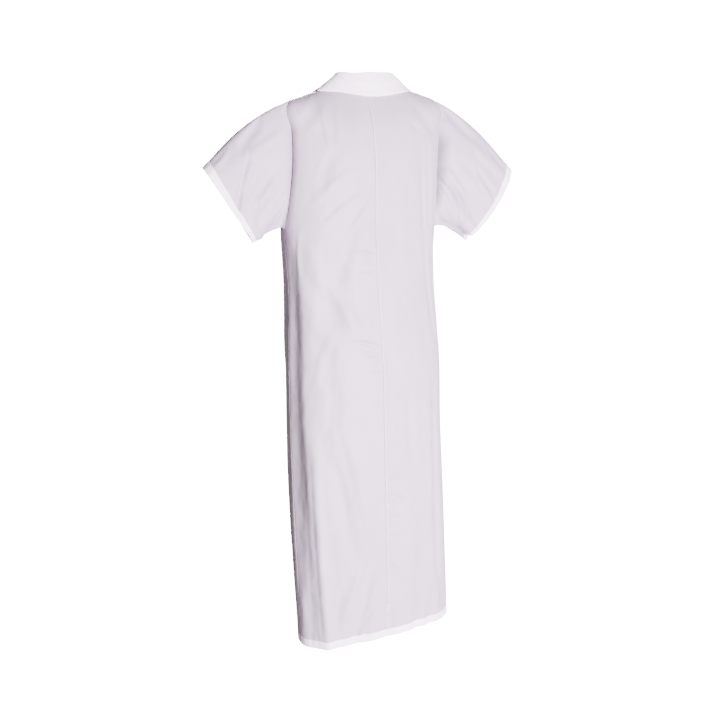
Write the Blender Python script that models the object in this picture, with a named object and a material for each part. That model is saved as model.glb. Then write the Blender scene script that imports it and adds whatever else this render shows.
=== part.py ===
"""Long short-sleeved medical tunic with a folded collar, hanging open and hollow as when it is worn.

Metres, +Z up.  The front faces -Y and the wearer's left side is +X.  The origin lies between the
two points where the shoulder seams meet the neckline, which is where the shoulders carry it.

The body is a tube of rings.  A row of RINGS gives one ring's heights and depths, and a point of
the tube is named by its drop (metres below the neckline, row by row) and its angle (0 degrees
at the wearer's left side, 90 at the centre back, 180 at the right side, 270 at the centre front).
Each body piece is the stretch of the tube between two seams.
"""
import functools
import math

import bpy
import numpy as np

# ---------------------------------------------------------------- driving sizes, metres
CLOTH = 0.0015            # wall of one layer of the poly-cotton
SEAM_PULL = 0.0002        # each edge stops this far short of its seam line
HEM_DROP = 1.313          # neckline to hem
HEM_TURN = 0.021          # turned-up hem of the body
HEM_STEP = 0.003          # height of the step where the second layer begins
UNDERARM_DROP = 0.315     # neckline to the underarm point
SHOULDER_DROP = 0.070     # neckline to the row through the shoulder tips
ARMHOLE_BACK = 0.020      # the armhole's back edge bows this far behind the side line
ARMHOLE_FRONT = 0.042     # and its front edge this far before it
ARMHOLE_ROUND = 0.65      # below 1, the ends of the armhole are rounder than a sine
OVERLAP = 0.016           # each front runs this far past the centre front
OVER_GAP = 0.0007         # space between the two fronts where they overlap
OVER_LIFT = CLOTH + OVER_GAP   # so the upper front stands this far off the under one
HEM_LAYERS = 1.9          # wall of the turned-up hem in layers of cloth

# ---------------------------------------------------------------- rings of the body
# drop; height at the side, back and front; rise of the right side over the left; half width;
# depth behind and before the shoulder line; squareness of the oval; sway to the wearer's left;
# centre-back seam off the middle; depth of the shoulder seam and the side seam
RING_COLUMNS = (
    "drop", "side_z", "back_z", "front_z", "right_rise", "half_width", "back_y", "front_y",
    "square", "sway", "seam_x", "side_y")
RINGS = (
    (0.000, 0.000, -0.004, -0.080, 0.000, 0.070, 0.032, -0.086, 2.00, 0.000, 0.012, 0.002),
    (0.022, -0.011, -0.024, -0.095, 0.003, 0.103, 0.040, -0.094, 2.00, 0.000, 0.012, 0.003),
    (0.045, -0.024, -0.046, -0.112, 0.006, 0.143, 0.050, -0.101, 2.05, 0.000, 0.011, 0.005),
    (0.070, -0.038, -0.072, -0.130, 0.006, 0.182, 0.061, -0.107, 2.15, 0.000, 0.010, 0.008),
    (0.120, -0.090, -0.122, -0.164, 0.003, 0.187, 0.073, -0.114, 2.30, 0.001, 0.009, 0.006),
    (0.190, -0.170, -0.191, -0.212, 0.000, 0.186, 0.079, -0.121, 2.40, 0.003, 0.007, 0.002),
    (0.260, -0.246, -0.260, -0.264, -0.002, 0.185, 0.080, -0.124, 2.40, 0.005, 0.004, -0.002),
    (0.315, -0.306, -0.315, -0.315, -0.006, 0.184, 0.080, -0.125, 2.40, 0.006, 0.003, -0.004),
    (0.430, -0.430, -0.430, -0.430, 0.000, 0.180, 0.082, -0.125, 2.40, 0.003, 0.001, -0.004),
    (0.620, -0.620, -0.620, -0.620, 0.000, 0.191, 0.092, -0.119, 2.45, -0.005, 0.000, -0.003),
    (0.780, -0.780, -0.780, -0.780, 0.000, 0.194, 0.096, -0.113, 2.45, -0.008, 0.001, -0.001),
    (0.970, -0.970, -0.970, -0.970, 0.000, 0.199, 0.097, -0.104, 2.55, -0.015, 0.003, 0.004),
    (1.313, -1.313, -1.304, -1.313, 0.000, 0.205, 0.088, -0.066, 2.60, -0.032, 0.006, 0.012),
)

# ---------------------------------------------------------------- largest folds of the body
# drop where the fold starts and ends; angle at its start and end; half spread in degrees;
# height, + outwards
FOLDS = (
    (0.74, 1.40, 35, 43, 13, 0.0060),        # ridge down the left back to the hem
    (0.34, 1.20, 12, 16, 17, -0.0080),       # long hollow down the left side
    (0.30, 0.62, 62, 44, 14, -0.0035),       # slack below the left shoulder blade
    (0.42, 0.80, 70, 58, 12, 0.0035),
    (0.60, 1.05, 66, 58, 11, -0.0030),
    (1.00, 1.36, 82, 62, 9, -0.0040),        # drag towards the foot of the back seam
    (1.10, 1.36, 90, 74, 8, 0.0030),
    (0.12, 0.56, 152, 168, 9, -0.0040),      # line down from the right armhole
    (0.08, 0.40, 163, 174, 8, 0.0040),
    (0.86, 1.20, 112, 120, 9, -0.0025),      # slack right of the back seam
    (1.18, 1.36, 128, 136, 12, 0.0035),      # ripple over the hem
    (1.16, 1.36, 104, 112, 9, -0.0030),
    (0.14, 0.50, 222, 205, 13, 0.0040),      # fronts: drape from the chest
    (0.16, 0.62, 318, 336, 13, 0.0045),
    (0.40, 1.10, 238, 231, 14, -0.0060),
    (0.46, 1.22, 305, 312, 14, -0.0065),
    (0.60, 1.38, 216, 214, 13, 0.0060),
    (0.66, 1.38, 329, 325, 12, 0.0050),
    (0.78, 1.38, 250, 246, 9, 0.0040),
    (0.84, 1.38, 290, 293, 10, -0.0040),
)

# ---------------------------------------------------------------- sleeves
SLEEVE_TURN = 0.020              # turned-up hem of a sleeve
# 1 left or -1 right; upper end and lower corner of the sleeve's hem; half depth of the hem's
# oval; how far its two faces bow to the back; how far its front droops; how much longer its
# back is than its middle line, and its front shorter
SLEEVE_COLUMNS = (
    "side", "tip_x", "tip_y", "tip_z", "corner_x", "corner_y", "corner_z", "half_depth", "bow",
    "droop", "lead")
SLEEVES = {
    "sleeve_left": (1, 0.377, 0.025, -0.170, 0.266, 0.002, -0.327, 0.028, 0.012, 0.014, 0.009),
    "sleeve_right": (-1, 0.380, 0.019, -0.183, 0.281, 0.004, -0.340, 0.030, 0.010, 0.052, 0.004),
}
SLEEVE_CROWN = 0.0150            # the top line arches this far above its chord
SLEEVE_PEAK = 0.85               # below 1, that arch is highest nearer the shoulder
SLEEVE_BELLY = 0.0080            # the faces swell this far between armhole and hem
SLEEVE_SQUARE = 2.3              # squareness of the hem's oval
DROOP_BEHIND = 0.06              # the hem rises at the back by this share of the front's droop
# share of the sleeve's length where a fold starts and ends; turn round the sleeve there (0
# underarm, 90 back, 180 top, 270 front); half spread in degrees; height, + outwards
SLEEVE_FOLDS = {
    "sleeve_left": (
        (0.30, 1.05, 118, 84, 15, -0.0040),
        (0.05, 0.80, 66, 52, 15, -0.0035),
        (0.15, 0.95, 92, 66, 11, 0.0030),
        (0.10, 0.90, 250, 280, 16, -0.0040),
        (0.20, 1.00, 288, 310, 14, 0.0035)),
    "sleeve_right": (
        (0.00, 0.70, 74, 40, 14, -0.0045),
        (0.45, 1.05, 128, 112, 12, -0.0030),
        (0.20, 0.95, 104, 78, 12, 0.0025),
        (0.10, 0.85, 246, 282, 16, -0.0045),
        (0.25, 1.00, 292, 306, 13, 0.0035)),
}

# ---------------------------------------------------------------- collar
COLLAR_WALL = 0.0024             # two layers sewn together and pressed
COLLAR_BEND = 0.0019             # radius of the fold, to the middle of the wall
COLLAR_GAP = 0.0012              # the fall clears the cloth below it by this much
FALL_HANG = 1.1                  # above 1, the fall leaves the fold more steeply
FALL_CLEAR = 2.5                 # the fall has its full clearance after one part in this many
LIFT_COSINE = 0.8                # cosine of the angle off the centre front where the fall
                                 # starts to rise over the upper front
# turn from the centre back (0) to the front end (1); height of the stand; how far down the
# body the fall reaches; sideways spread of its edge in degrees
COLLAR_COLUMNS = ("turn", "stand", "fall_drop", "spread")
COLLAR = (
    (0.00, 0.0290, 0.0240, 0.0),
    (0.30, 0.0270, 0.0260, 0.0),
    (0.52, 0.0200, 0.0330, 0.0),
    (0.75, 0.0090, 0.0480, 4.0),
    (1.00, 0.0040, 0.0680, 15.0),
)

# ---------------------------------------------------------------- buttons
BUTTON_RADIUS = 0.0085
BUTTON_THICK = 0.0026
BUTTON_COUNT = 7
BUTTON_FIRST = 0.060             # drop of the highest button
BUTTON_STEP = 0.132
BUTTON_SIDES = 18
# radius and height of the outline of half a button, as shares, from its underside to its dish
BUTTON_PROFILE = (
    (0.70, 0.00), (0.93, 0.15), (1.00, 0.60), (0.93, 1.00), (0.72, 1.00), (0.62, 0.73))

# ---------------------------------------------------------------- how finely it is divided
SHOULDER_ROWS = 4                # rows from the neckline to the shoulder tips
ARMHOLE_ROWS = 11                # rows from there to the underarm
SKIRT_ROWS = 22                  # rows from there to the hem band
PANEL_COLUMNS = 12               # columns from the middle of the body to its side edge
SLEEVE_ROWS = 9
COLLAR_BENDS = 4                 # facets round the fold
FALL_ROWS = 4
STEP = 1e-4                      # steps for the slopes that give the normals: a drop
ANGLE_STEP = 0.5                 # an angle or a turn, degrees
ALONG_STEP = 0.002               # a share of a sleeve's length
MITRE_FLOOR = 0.35               # keeps a mitre short where two walls meet at a sharp angle
BESIDE_OVERLAP = 1.9             # first column beside the overlap, in overlaps from the centre
BESIDE_LIFT = 0.35               # share of the overlap's lift that this column has

# colour, roughness, metallic
MATERIALS = {
    "white_cloth": ((0.780, 0.758, 0.800), 0.72, 0.0),
    "collar_cloth": ((0.860, 0.845, 0.880), 0.70, 0.0),
    "button_white": ((0.860, 0.860, 0.850), 0.30, 0.0),
}


# ---------------------------------------------------------------- tables read as smooth curves
def smooth(columns, table, name, at):
    """Read one named column of a table at the places given, as a smooth curve through its rows.

    The first column is the place.  Between two rows the value is a cubic whose slope at each
    row is the mean of the slopes on its two sides, so it passes through every row.
    """
    place = np.array([row[0] for row in table])
    value = np.array([row[columns.index(name)] for row in table])
    width = np.diff(place)
    rise = np.diff(value) / width
    slope = np.empty_like(value)
    slope[0] = rise[0]
    slope[-1] = rise[-1]
    slope[1:-1] = (rise[:-1] * width[1:] + rise[1:] * width[:-1]) / (width[:-1] + width[1:])
    at = np.asarray(at, float)
    k = np.clip(np.searchsorted(place, at) - 1, 0, len(width) - 1)
    t = np.clip((at - place[k]) / width[k], 0.0, 1.0)
    return ((2 * t ** 3 - 3 * t ** 2 + 1) * value[k] + (t ** 3 - 2 * t ** 2 + t) * width[k] * slope[k]
            + (3 * t ** 2 - 2 * t ** 3) * value[k + 1] + (t ** 3 - t ** 2) * width[k] * slope[k + 1])


def ring(name, drop):
    """One measure of the body's rings at a drop."""
    return smooth(RING_COLUMNS, RINGS, name, drop)


def fold_lift(folds, along, around):
    """Height of all folds at a place: each a soft ridge that fades out at both ends."""
    lift = np.zeros(np.broadcast(along, around).shape)
    for start, end, start_angle, end_angle, spread, height in folds:
        t = (along - start) / (end - start)
        angle = start_angle + (end_angle - start_angle) * t
        across = np.clip(((around - angle + 180.0) % 360.0 - 180.0) / spread, -1.0, 1.0)
        length = np.clip(1.0 - (2.0 * t - 1.0) ** 2, 0.0, 1.0)
        lift += height * (1.0 - across ** 2) ** 2 * length * (2.0 - length)
    return lift


# ---------------------------------------------------------------- the body as a tube
def bare_tube(drop, angle):
    """Point of the tube without folds, at a drop in metres and an angle in degrees.

    The ring is the oval |x/half_width|^square + |y/depth|^square = 1, and its height changes
    from the side to the back or the front with the square of the sine.
    """
    drop, angle = np.broadcast_arrays(np.asarray(drop, float), np.asarray(angle, float))
    cos, sin = np.cos(np.radians(angle)), np.sin(np.radians(angle))
    square = ring("square", drop)
    round_off = (np.abs(cos) ** square + np.abs(sin) ** square) ** (-1.0 / square)
    at_back = sin > 0
    depth = np.where(at_back, ring("back_y", drop), -ring("front_y", drop))
    end_z = np.where(at_back, ring("back_z", drop), ring("front_z", drop))
    side_z = ring("side_z", drop)
    x = ring("sway", drop) + ring("half_width", drop) * cos * round_off
    y = depth * sin * round_off
    z = side_z + (end_z - side_z) * sin ** 2
    z = z + ring("right_rise", drop) * np.clip(-cos, 0.0, 1.0)
    return np.stack((x, y, z), -1)


def unit(vector):
    return vector / np.linalg.norm(vector, axis=-1, keepdims=True)


def surface_normal(surface, along, around, along_step, around_step):
    """Outward normal of a surface that is a function of two places, from its two slopes."""
    down = surface(along + along_step, around) - surface(along - along_step, around)
    turn = surface(along, around + around_step) - surface(along, around - around_step)
    return unit(np.cross(turn, -down))


def tube(drop, angle):
    """Point of the tube with its folds."""
    drop, angle = np.broadcast_arrays(np.asarray(drop, float), np.asarray(angle, float))
    inside = np.clip(drop, STEP, HEM_DROP - STEP)
    normal = surface_normal(bare_tube, inside, angle, STEP, 2 * ANGLE_STEP)
    lift = fold_lift(FOLDS, drop, angle)
    return bare_tube(drop, angle) + normal * lift[..., None]


def tube_normal(drop, angle):
    inside = np.clip(drop, 2 * STEP, HEM_DROP - 2 * STEP)
    return surface_normal(tube, inside, angle, STEP, ANGLE_STEP)


def side_angle(drop, side, face):
    """Angle of a body piece's side edge: shoulder seam, armhole and side seam in turn.

    Down the armhole the edge leaves the side line by half a sine wave, rounded at its ends.
    """
    down = np.clip((drop - SHOULDER_DROP) / (UNDERARM_DROP - SHOULDER_DROP), 0.0, 1.0)
    bow = ARMHOLE_BACK if face == "back" else -ARMHOLE_FRONT
    edge_y = ring("side_y", drop) + bow * np.sin(math.pi * down) ** ARMHOLE_ROUND
    depth = np.where(edge_y > 0, ring("back_y", drop), -ring("front_y", drop))
    square = ring("square", drop)
    across = (1.0 - np.abs(edge_y / depth) ** square) ** (1.0 / square)
    angle = np.degrees(np.arctan2(edge_y / depth, side * across))
    return angle % 360.0


def back_seam_angle(drop):
    """Angle of the centre-back seam."""
    return 90.0 - np.degrees(np.arcsin(ring("seam_x", drop) / ring("half_width", drop)))


def front_angle(drop, past):
    """Angle that lies a distance in metres past the centre front, towards the left if > 0."""
    return 270.0 + np.degrees(past / ring("half_width", drop))


# ---------------------------------------------------------------- cloth walls
def make_mesh(name, points, faces, material):
    mesh = bpy.data.meshes.new(name)
    mesh.from_pydata([tuple(point) for point in points], [], faces)
    mesh.update()
    mesh.shade_smooth()
    mesh.set_sharp_from_angle(angle=math.radians(50))
    node = bpy.data.objects.new(name, mesh)
    node.data.materials.append(material)
    bpy.context.scene.collection.objects.link(node)
    return node


def grid_faces(rows, columns, start, wrap):
    """Quads of a grid of points counted row by row from a start, closed round if wrap."""
    last = columns if wrap else columns - 1
    faces = []
    for i in range(rows - 1):
        for j in range(last):
            k = (j + 1) % columns
            faces.append((start + i * columns + j, start + i * columns + k,
                          start + (i + 1) * columns + k, start + (i + 1) * columns + j))
    return faces


def edge_loop(rows, columns, wrap):
    """Edge points of a grid in order, as one loop, or as two loops where it wraps round."""
    first = list(range(columns))
    last = list(range((rows - 1) * columns, rows * columns))
    if wrap:
        return [first + first[:1], (last + last[:1])[::-1]]
    right = list(range(columns - 1, rows * columns, columns))
    left = list(range(0, rows * columns, columns))
    return [first + right[1:] + last[::-1][1:] + left[::-1][1:]]


def wall(name, outer, inner, material, wrap=False):
    """Closed wall between an outer and an inner grid of points, with its edges filled."""
    rows, columns = outer.shape[:2]
    count = rows * columns
    faces = grid_faces(rows, columns, 0, wrap)
    faces += [face[::-1] for face in grid_faces(rows, columns, count, wrap)]
    points = np.concatenate((outer.reshape(-1, 3), inner.reshape(-1, 3)))
    for loop in edge_loop(rows, columns, wrap):
        for a, b in zip(loop[:-1], loop[1:]):
            # the shorter diagonal, so that the two edges of a seam are cut alike
            if math.dist(points[a], points[b + count]) < math.dist(points[b], points[a + count]):
                faces += [(b, a, b + count), (a, a + count, b + count)]
            else:
                faces += [(b, a, a + count), (b, a + count, b + count)]
    return make_mesh(name, points, faces, material)


def pull_back(outer, inner, edges):
    """Move the named edges of a wall a little way in, so that each seam keeps its gap."""
    last = {"top": (0, 1), "foot": (-1, -2)}
    for edge in edges:
        if edge in last:
            here, beside = last[edge]
            shift = unit(outer[beside] - outer[here]) * SEAM_PULL
            outer[here] += shift
            inner[here] += shift
        else:
            here, beside = (0, 1) if edge == "start" else (-1, -2)
            shift = unit(outer[:, beside] - outer[:, here]) * SEAM_PULL
            outer[:, here] += shift
            inner[:, here] += shift


def mitre(normal_a, normal_b):
    """Direction to a wall's inner edge where two surfaces meet, long enough to keep its wall."""
    both = 1.0 + np.sum(normal_a * normal_b, -1, keepdims=True)
    return (normal_a + normal_b) / np.maximum(both, MITRE_FLOOR)


# ---------------------------------------------------------------- body pieces
def body_drops():
    """Drops of the rows: to the shoulder tips, down the armhole, down the skirt, and the hem."""
    band = HEM_DROP - HEM_TURN
    return np.concatenate((
        np.linspace(0.0, SHOULDER_DROP, SHOULDER_ROWS + 1),
        np.linspace(SHOULDER_DROP, UNDERARM_DROP, ARMHOLE_ROWS + 1)[1:],
        np.linspace(UNDERARM_DROP, band - HEM_STEP, SKIRT_ROWS + 1)[1:],
        [band, HEM_DROP]))


def armhole_rows():
    return slice(SHOULDER_ROWS, SHOULDER_ROWS + ARMHOLE_ROWS + 1)


def armhole_mitres(side, face):
    """Mitre along one side of an armhole, from the shoulder tip to the underarm."""
    drop = body_drops()[armhole_rows()]
    body = tube_normal(drop, side_angle(drop, side, face))
    name = "sleeve_left" if side > 0 else "sleeve_right"
    count = 2 * ARMHOLE_ROWS
    sleeve = sleeve_normal(name, np.zeros(count), sleeve_turns())
    # the sleeve's points start at the underarm, go up the back and come down the front
    order = np.arange(ARMHOLE_ROWS, -1, -1)
    if face == "front":
        order = np.arange(ARMHOLE_ROWS, count + 1) % count
    return mitre(body, sleeve[order])


def body_piece(name, face, side, middle_angles, shares, material):
    """One front or back: from the columns by the middle of the body to its side edge.

    The shares say how much of the overlap's lift each of those first columns has.
    """
    drop = body_drops()
    edge = side_angle(drop, side, face)
    inner_edge = middle_angles[:, -1]
    turn = (edge - inner_edge + 180.0) % 360.0 - 180.0
    share = np.linspace(0.0, 1.0, PANEL_COLUMNS + 1)[1:]
    spread = inner_edge[:, None] + turn[:, None] * share[None, :]
    angle = np.concatenate((middle_angles, spread), axis=1)
    rows = np.repeat(drop[:, None], angle.shape[1], axis=1)
    normal = tube_normal(rows, angle)
    outer = tube(rows, angle)
    layers = np.where(drop < HEM_DROP - HEM_TURN - STEP, 1.0, HEM_LAYERS)
    lift = np.zeros(angle.shape)
    lift[:, :len(shares)] = (CLOTH * layers + OVER_GAP)[:, None] * shares
    outer += normal * lift[..., None]
    inward = normal.copy()
    inward[armhole_rows(), -1] = armhole_mitres(side, face)
    inner = outer - inward * (CLOTH * layers)[:, None, None]
    pull_back(outer, inner, ("top", "end") if face == "front" else ("top", "start", "end"))
    if np.mean(turn) > 0:
        outer, inner = outer[:, ::-1], inner[:, ::-1]
    return wall(name, outer, inner, material)


def build_backs(material):
    drop = body_drops()
    seam = back_seam_angle(drop)[:, None]
    body_piece("back_left", "back", 1, seam, (0.0,), material)
    body_piece("back_right", "back", -1, seam, (0.0,), material)


def build_fronts(material):
    """Two fronts that overlap at the centre, the right one on top."""
    drop = body_drops()
    past = OVERLAP * np.array([-1.0, 0.0, 1.0, BESIDE_OVERLAP])
    left = front_angle(drop[:, None], past)
    right = front_angle(drop[:, None], -past)
    body_piece("front_left", "front", 1, left, (0.0, 0.0, 0.0, 0.0), material)
    body_piece("front_right", "front", -1, right, (1.0, 1.0, 1.0, BESIDE_LIFT), material)


# ---------------------------------------------------------------- sleeves
def sleeve_turns():
    """Turns of a sleeve's points, one for each row of the armhole on its back and its front."""
    return np.arange(2 * ARMHOLE_ROWS) * 180.0 / ARMHOLE_ROWS


def armhole_loop(side, turns):
    """Armhole edge at the turns given: up the back from the underarm and down the front."""
    drops = body_drops()[armhole_rows()]
    share = np.abs(180.0 - turns) / 180.0
    drop = np.interp(share, np.linspace(0.0, 1.0, ARMHOLE_ROWS + 1), drops)
    back = tube(drop, side_angle(drop, side, "back"))
    front = tube(drop, side_angle(drop, side, "front"))
    return np.where((turns <= 180.0)[..., None], back, front)


def shoulder_to_tip(name):
    """How far out and how far down a sleeve's upper line runs."""
    row = dict(zip(SLEEVE_COLUMNS, SLEEVES[name]))
    run = row["tip_x"] - ring("half_width", SHOULDER_DROP)
    return run, ring("side_z", SHOULDER_DROP) - row["tip_z"]


def sleeve_point(name, along, turns):
    """Point of a sleeve: from the armhole (0) to the hem (1), at a turn round it in degrees.

    Its lines run straight from the armhole to the hem ring, arched above the top line and
    swelled on the two faces by a sine that is nothing at both ends.
    """
    row = dict(zip(SLEEVE_COLUMNS, SLEEVES[name]))
    along, turns = np.broadcast_arrays(np.asarray(along, float), np.asarray(turns, float) % 360.0)
    side = row["side"]
    tip = np.array([side * row["tip_x"], row["tip_y"], row["tip_z"]])
    corner = np.array([side * row["corner_x"], row["corner_y"], row["corner_z"]])
    cos, sin = np.cos(np.radians(turns)), np.sin(np.radians(turns))
    round_off = np.abs(cos) ** SLEEVE_SQUARE + np.abs(sin) ** SLEEVE_SQUARE
    round_off = (round_off ** (-1.0 / SLEEVE_SQUARE))[..., None]
    hem = (tip + corner) / 2 + (corner - tip) / 2 * cos[..., None] * round_off
    hem = hem + np.array([0.0, row["half_depth"], 0.0]) * sin[..., None] * round_off
    hem = hem + np.array([0.0, row["bow"], 0.0]) * np.abs(sin[..., None])
    low = np.clip(cos, 0.0, 1.0) * np.clip(-sin, -DROOP_BEHIND, 1.0)
    hem = hem - np.array([0.0, 0.0, row["droop"]]) * low[..., None]
    run, fall = shoulder_to_tip(name)
    outward = unit(np.array([side * run, 0.0, -fall]))
    hem = hem + outward * row["lead"] * sin[..., None]
    start = armhole_loop(side, turns)
    arch = np.sin(np.pi * np.clip(along, 0.0, 1.0) ** SLEEVE_PEAK)[..., None]
    rise = unit(np.array([side * fall, 0.0, run]))
    top = np.clip(-cos, 0.0, 1.0)[..., None] ** 2
    belly = np.array([0.0, SLEEVE_BELLY, 0.0]) * sin[..., None]
    return start + (hem - start) * along[..., None] + arch * (SLEEVE_CROWN * top * rise + belly)


def folded_sleeve(name, along, turns):
    """Point of a sleeve with its folds."""
    along, turns = np.broadcast_arrays(np.asarray(along, float), np.asarray(turns, float))
    bare = functools.partial(sleeve_point, name)
    normal = -SLEEVES[name][0] * surface_normal(bare, along, turns, ALONG_STEP, 3 * ANGLE_STEP)
    lift = fold_lift(SLEEVE_FOLDS[name], along, turns % 360.0)
    return bare(along, turns) + normal * lift[..., None]


def sleeve_normal(name, along, turns):
    """Outward normal of a sleeve with its folds."""
    here = np.clip(along, 2 * ALONG_STEP, 1.0 - 2 * ALONG_STEP)
    folded = functools.partial(folded_sleeve, name)
    return -SLEEVES[name][0] * surface_normal(folded, here, turns, ALONG_STEP, 3 * ANGLE_STEP)


def build_sleeve(name, material):
    side = SLEEVES[name][0]
    tip_length = math.hypot(*shoulder_to_tip(name))
    band = 1.0 - SLEEVE_TURN / tip_length
    step = band - HEM_STEP / tip_length
    rows = np.concatenate((np.linspace(0.0, step, SLEEVE_ROWS), [band, 1.0]))
    turns = sleeve_turns()
    along = np.repeat(rows[:, None], len(turns), axis=1)
    around = np.repeat(turns[None, :], len(rows), axis=0)
    outer = folded_sleeve(name, along, around)
    inward = sleeve_normal(name, along, around)
    back = armhole_mitres(side, "back")
    front = armhole_mitres(side, "front")
    inward[0] = np.concatenate((back[::-1], front[1:-1]))
    layers = np.where(rows < band - STEP, 1.0, HEM_LAYERS)
    inner = outer - inward * (CLOTH * layers)[:, None, None]
    pull_back(outer, inner, ("top",))
    if side < 0:
        outer, inner = outer[:, ::-1], inner[:, ::-1]
    return wall(name, outer, inner, material, wrap=True)


# ---------------------------------------------------------------- collar
def collar_angles():
    """Angle of each collar station: the panels' own columns along the neckline, in order."""
    drop = np.zeros(1)
    seam = back_seam_angle(drop)[0]
    share = np.linspace(0.0, 1.0, PANEL_COLUMNS + 1)
    left_side = side_angle(drop, 1, "back")[0]
    right_side = side_angle(drop, -1, "back")[0]
    front_left = front_angle(drop, BESIDE_OVERLAP * OVERLAP)[0]
    front_right = front_angle(drop, -BESIDE_OVERLAP * OVERLAP)[0]
    ends_left = front_angle(0.0, OVERLAP * np.array([0.08, 1.0]))
    ends_right = front_angle(0.0, OVERLAP * np.array([-1.0, -0.08]))
    right = front_right + (right_side - front_right) * share
    back_right = right_side + (seam - right_side) * share
    back_left = seam + (left_side - seam) * share
    left = left_side + (front_left - 360.0 - left_side) * share
    return np.concatenate((ends_right[::-1], right, back_right[1:], back_left[1:], left[1:],
                           ends_left[::-1] - 360.0))


def collar_path(angle):
    """Middle line of the collar's wall at each station, from the neckline over the fold."""
    turn = np.abs(angle - 90.0) / 180.0
    stand = smooth(COLLAR_COLUMNS, COLLAR, "stand", turn)
    reach = smooth(COLLAR_COLUMNS, COLLAR, "fall_drop", turn)
    spread = smooth(COLLAR_COLUMNS, COLLAR, "spread", turn) * np.sign(90.0 - angle)
    base = tube(np.zeros_like(angle), angle)
    up = np.array([0.0, 0.0, 1.0])
    neckline = tube(np.zeros_like(angle), angle + 1.0) - tube(np.zeros_like(angle), angle - 1.0)
    out = unit(np.cross(neckline, up))
    foot = base + up * 2 * SEAM_PULL - out * 0.5 * COLLAR_WALL
    crest = foot + up * (stand - COLLAR_BEND)[:, None]
    path = [foot, crest]
    for k in range(1, COLLAR_BENDS):
        bend = math.pi * k / COLLAR_BENDS
        path.append(crest + COLLAR_BEND * (out * (1 - math.cos(bend)) + up * math.sin(bend)))
    for k in range(FALL_ROWS + 1):
        q = k / FALL_ROWS
        side = angle + spread * q
        below = tube(reach * q, side)
        normal = tube_normal(reach * q, side)
        near = (np.cos(np.radians(side - 270.0)) - LIFT_COSINE) / (1.0 - LIFT_COSINE)
        over = np.clip(near, 0.0, 1.0) * OVER_LIFT
        clear = (COLLAR_GAP + 0.5 * COLLAR_WALL + over)[:, None] * min(1.0, FALL_CLEAR * q)
        high = crest + out * 2 * COLLAR_BEND - base
        path.append(below + high * (1 - q) ** FALL_HANG + normal * clear)
    return np.stack(path, 1)


def build_collar(material):
    angle = collar_angles()
    path = collar_path(angle)
    along = np.gradient(path, axis=1)
    around = np.gradient(path, axis=0)
    normal = unit(np.cross(around, along))
    outer = path + normal * COLLAR_WALL / 2
    inner = path - normal * COLLAR_WALL / 2
    return wall("collar", outer[::-1], inner[::-1], material)


# ---------------------------------------------------------------- buttons
def build_button(name, drop, material):
    """Round button with a raised rim and a dished face, square to the cloth at its drop."""
    centre = tube(np.array([drop]), np.array([270.0]))[0]
    normal = tube_normal(np.array([drop]), np.array([270.0]))[0]
    side = unit(np.cross(np.array([0.0, 0.0, 1.0]), normal))
    top = np.cross(normal, side)
    base = OVER_LIFT + 2 * SEAM_PULL
    points = []
    for radius, height in BUTTON_PROFILE:
        for k in range(BUTTON_SIDES):
            turn = 2 * math.pi * k / BUTTON_SIDES
            flat = BUTTON_RADIUS * radius * (math.cos(turn) * side + math.sin(turn) * top)
            points.append(centre + normal * (base + BUTTON_THICK * height) + flat)
    faces = grid_faces(len(BUTTON_PROFILE), BUTTON_SIDES, 0, True)
    last = (len(BUTTON_PROFILE) - 1) * BUTTON_SIDES
    faces.append(tuple(range(BUTTON_SIDES))[::-1])
    faces.append(tuple(range(last, last + BUTTON_SIDES)))
    return make_mesh(name, np.array(points), faces, material)


# ---------------------------------------------------------------- the whole tunic
def make_material(name):
    colour, roughness, metallic = MATERIALS[name]
    material = bpy.data.materials.new(name)
    material.use_nodes = True
    shader = material.node_tree.nodes["Principled BSDF"]
    shader.inputs["Base Color"].default_value = (*colour, 1.0)
    shader.inputs["Roughness"].default_value = roughness
    shader.inputs["Metallic"].default_value = metallic
    return material


def main():
    """Build every piece of the tunic."""
    for old in list(bpy.data.objects):
        bpy.data.objects.remove(old)
    cloth = make_material("white_cloth")
    build_backs(cloth)
    build_fronts(cloth)
    for name in SLEEVES:
        build_sleeve(name, cloth)
    build_collar(make_material("collar_cloth"))
    plastic = make_material("button_white")
    for k in range(BUTTON_COUNT):
        build_button(f"button_{k + 1}", BUTTON_FIRST + k * BUTTON_STEP, plastic)


main()
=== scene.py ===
"""Long white medical tunic with short sleeves and a folded collar, filled out and hollow.

It is built in the order a maker sews it: backs, fronts, sleeves, collar, buttons, thread.
Metres, +Z up, the front faces -Y and the wearer's left side is +X.
"""
import functools
import math

import bmesh
import bpy
import numpy as np
from mathutils import Matrix, Vector


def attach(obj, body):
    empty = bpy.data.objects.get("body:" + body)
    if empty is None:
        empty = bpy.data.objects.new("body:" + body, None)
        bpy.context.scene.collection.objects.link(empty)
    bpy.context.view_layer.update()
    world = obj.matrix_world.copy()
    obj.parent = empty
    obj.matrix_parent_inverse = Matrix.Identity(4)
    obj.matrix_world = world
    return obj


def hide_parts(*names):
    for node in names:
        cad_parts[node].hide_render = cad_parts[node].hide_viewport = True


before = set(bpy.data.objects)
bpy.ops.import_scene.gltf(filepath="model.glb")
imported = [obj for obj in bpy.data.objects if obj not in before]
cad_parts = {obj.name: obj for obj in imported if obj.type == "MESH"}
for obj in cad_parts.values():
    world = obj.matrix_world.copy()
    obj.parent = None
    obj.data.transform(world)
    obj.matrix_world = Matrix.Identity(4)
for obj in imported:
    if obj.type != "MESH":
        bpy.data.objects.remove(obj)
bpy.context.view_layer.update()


# ---- Studio: camera behind the tunic's left shoulder, soft lights, pale floor.
# Place, lens and lights were set to match the photo's outline and tones; none of it is the tunic.
TURN = math.radians(27.0)  # from straight behind towards the wearer's left
DISTANCE = 2.05
CAMERA_Z = -0.096
PITCH = math.radians(14.3)
YAW = math.atan(3.0 / 900.0)

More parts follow.
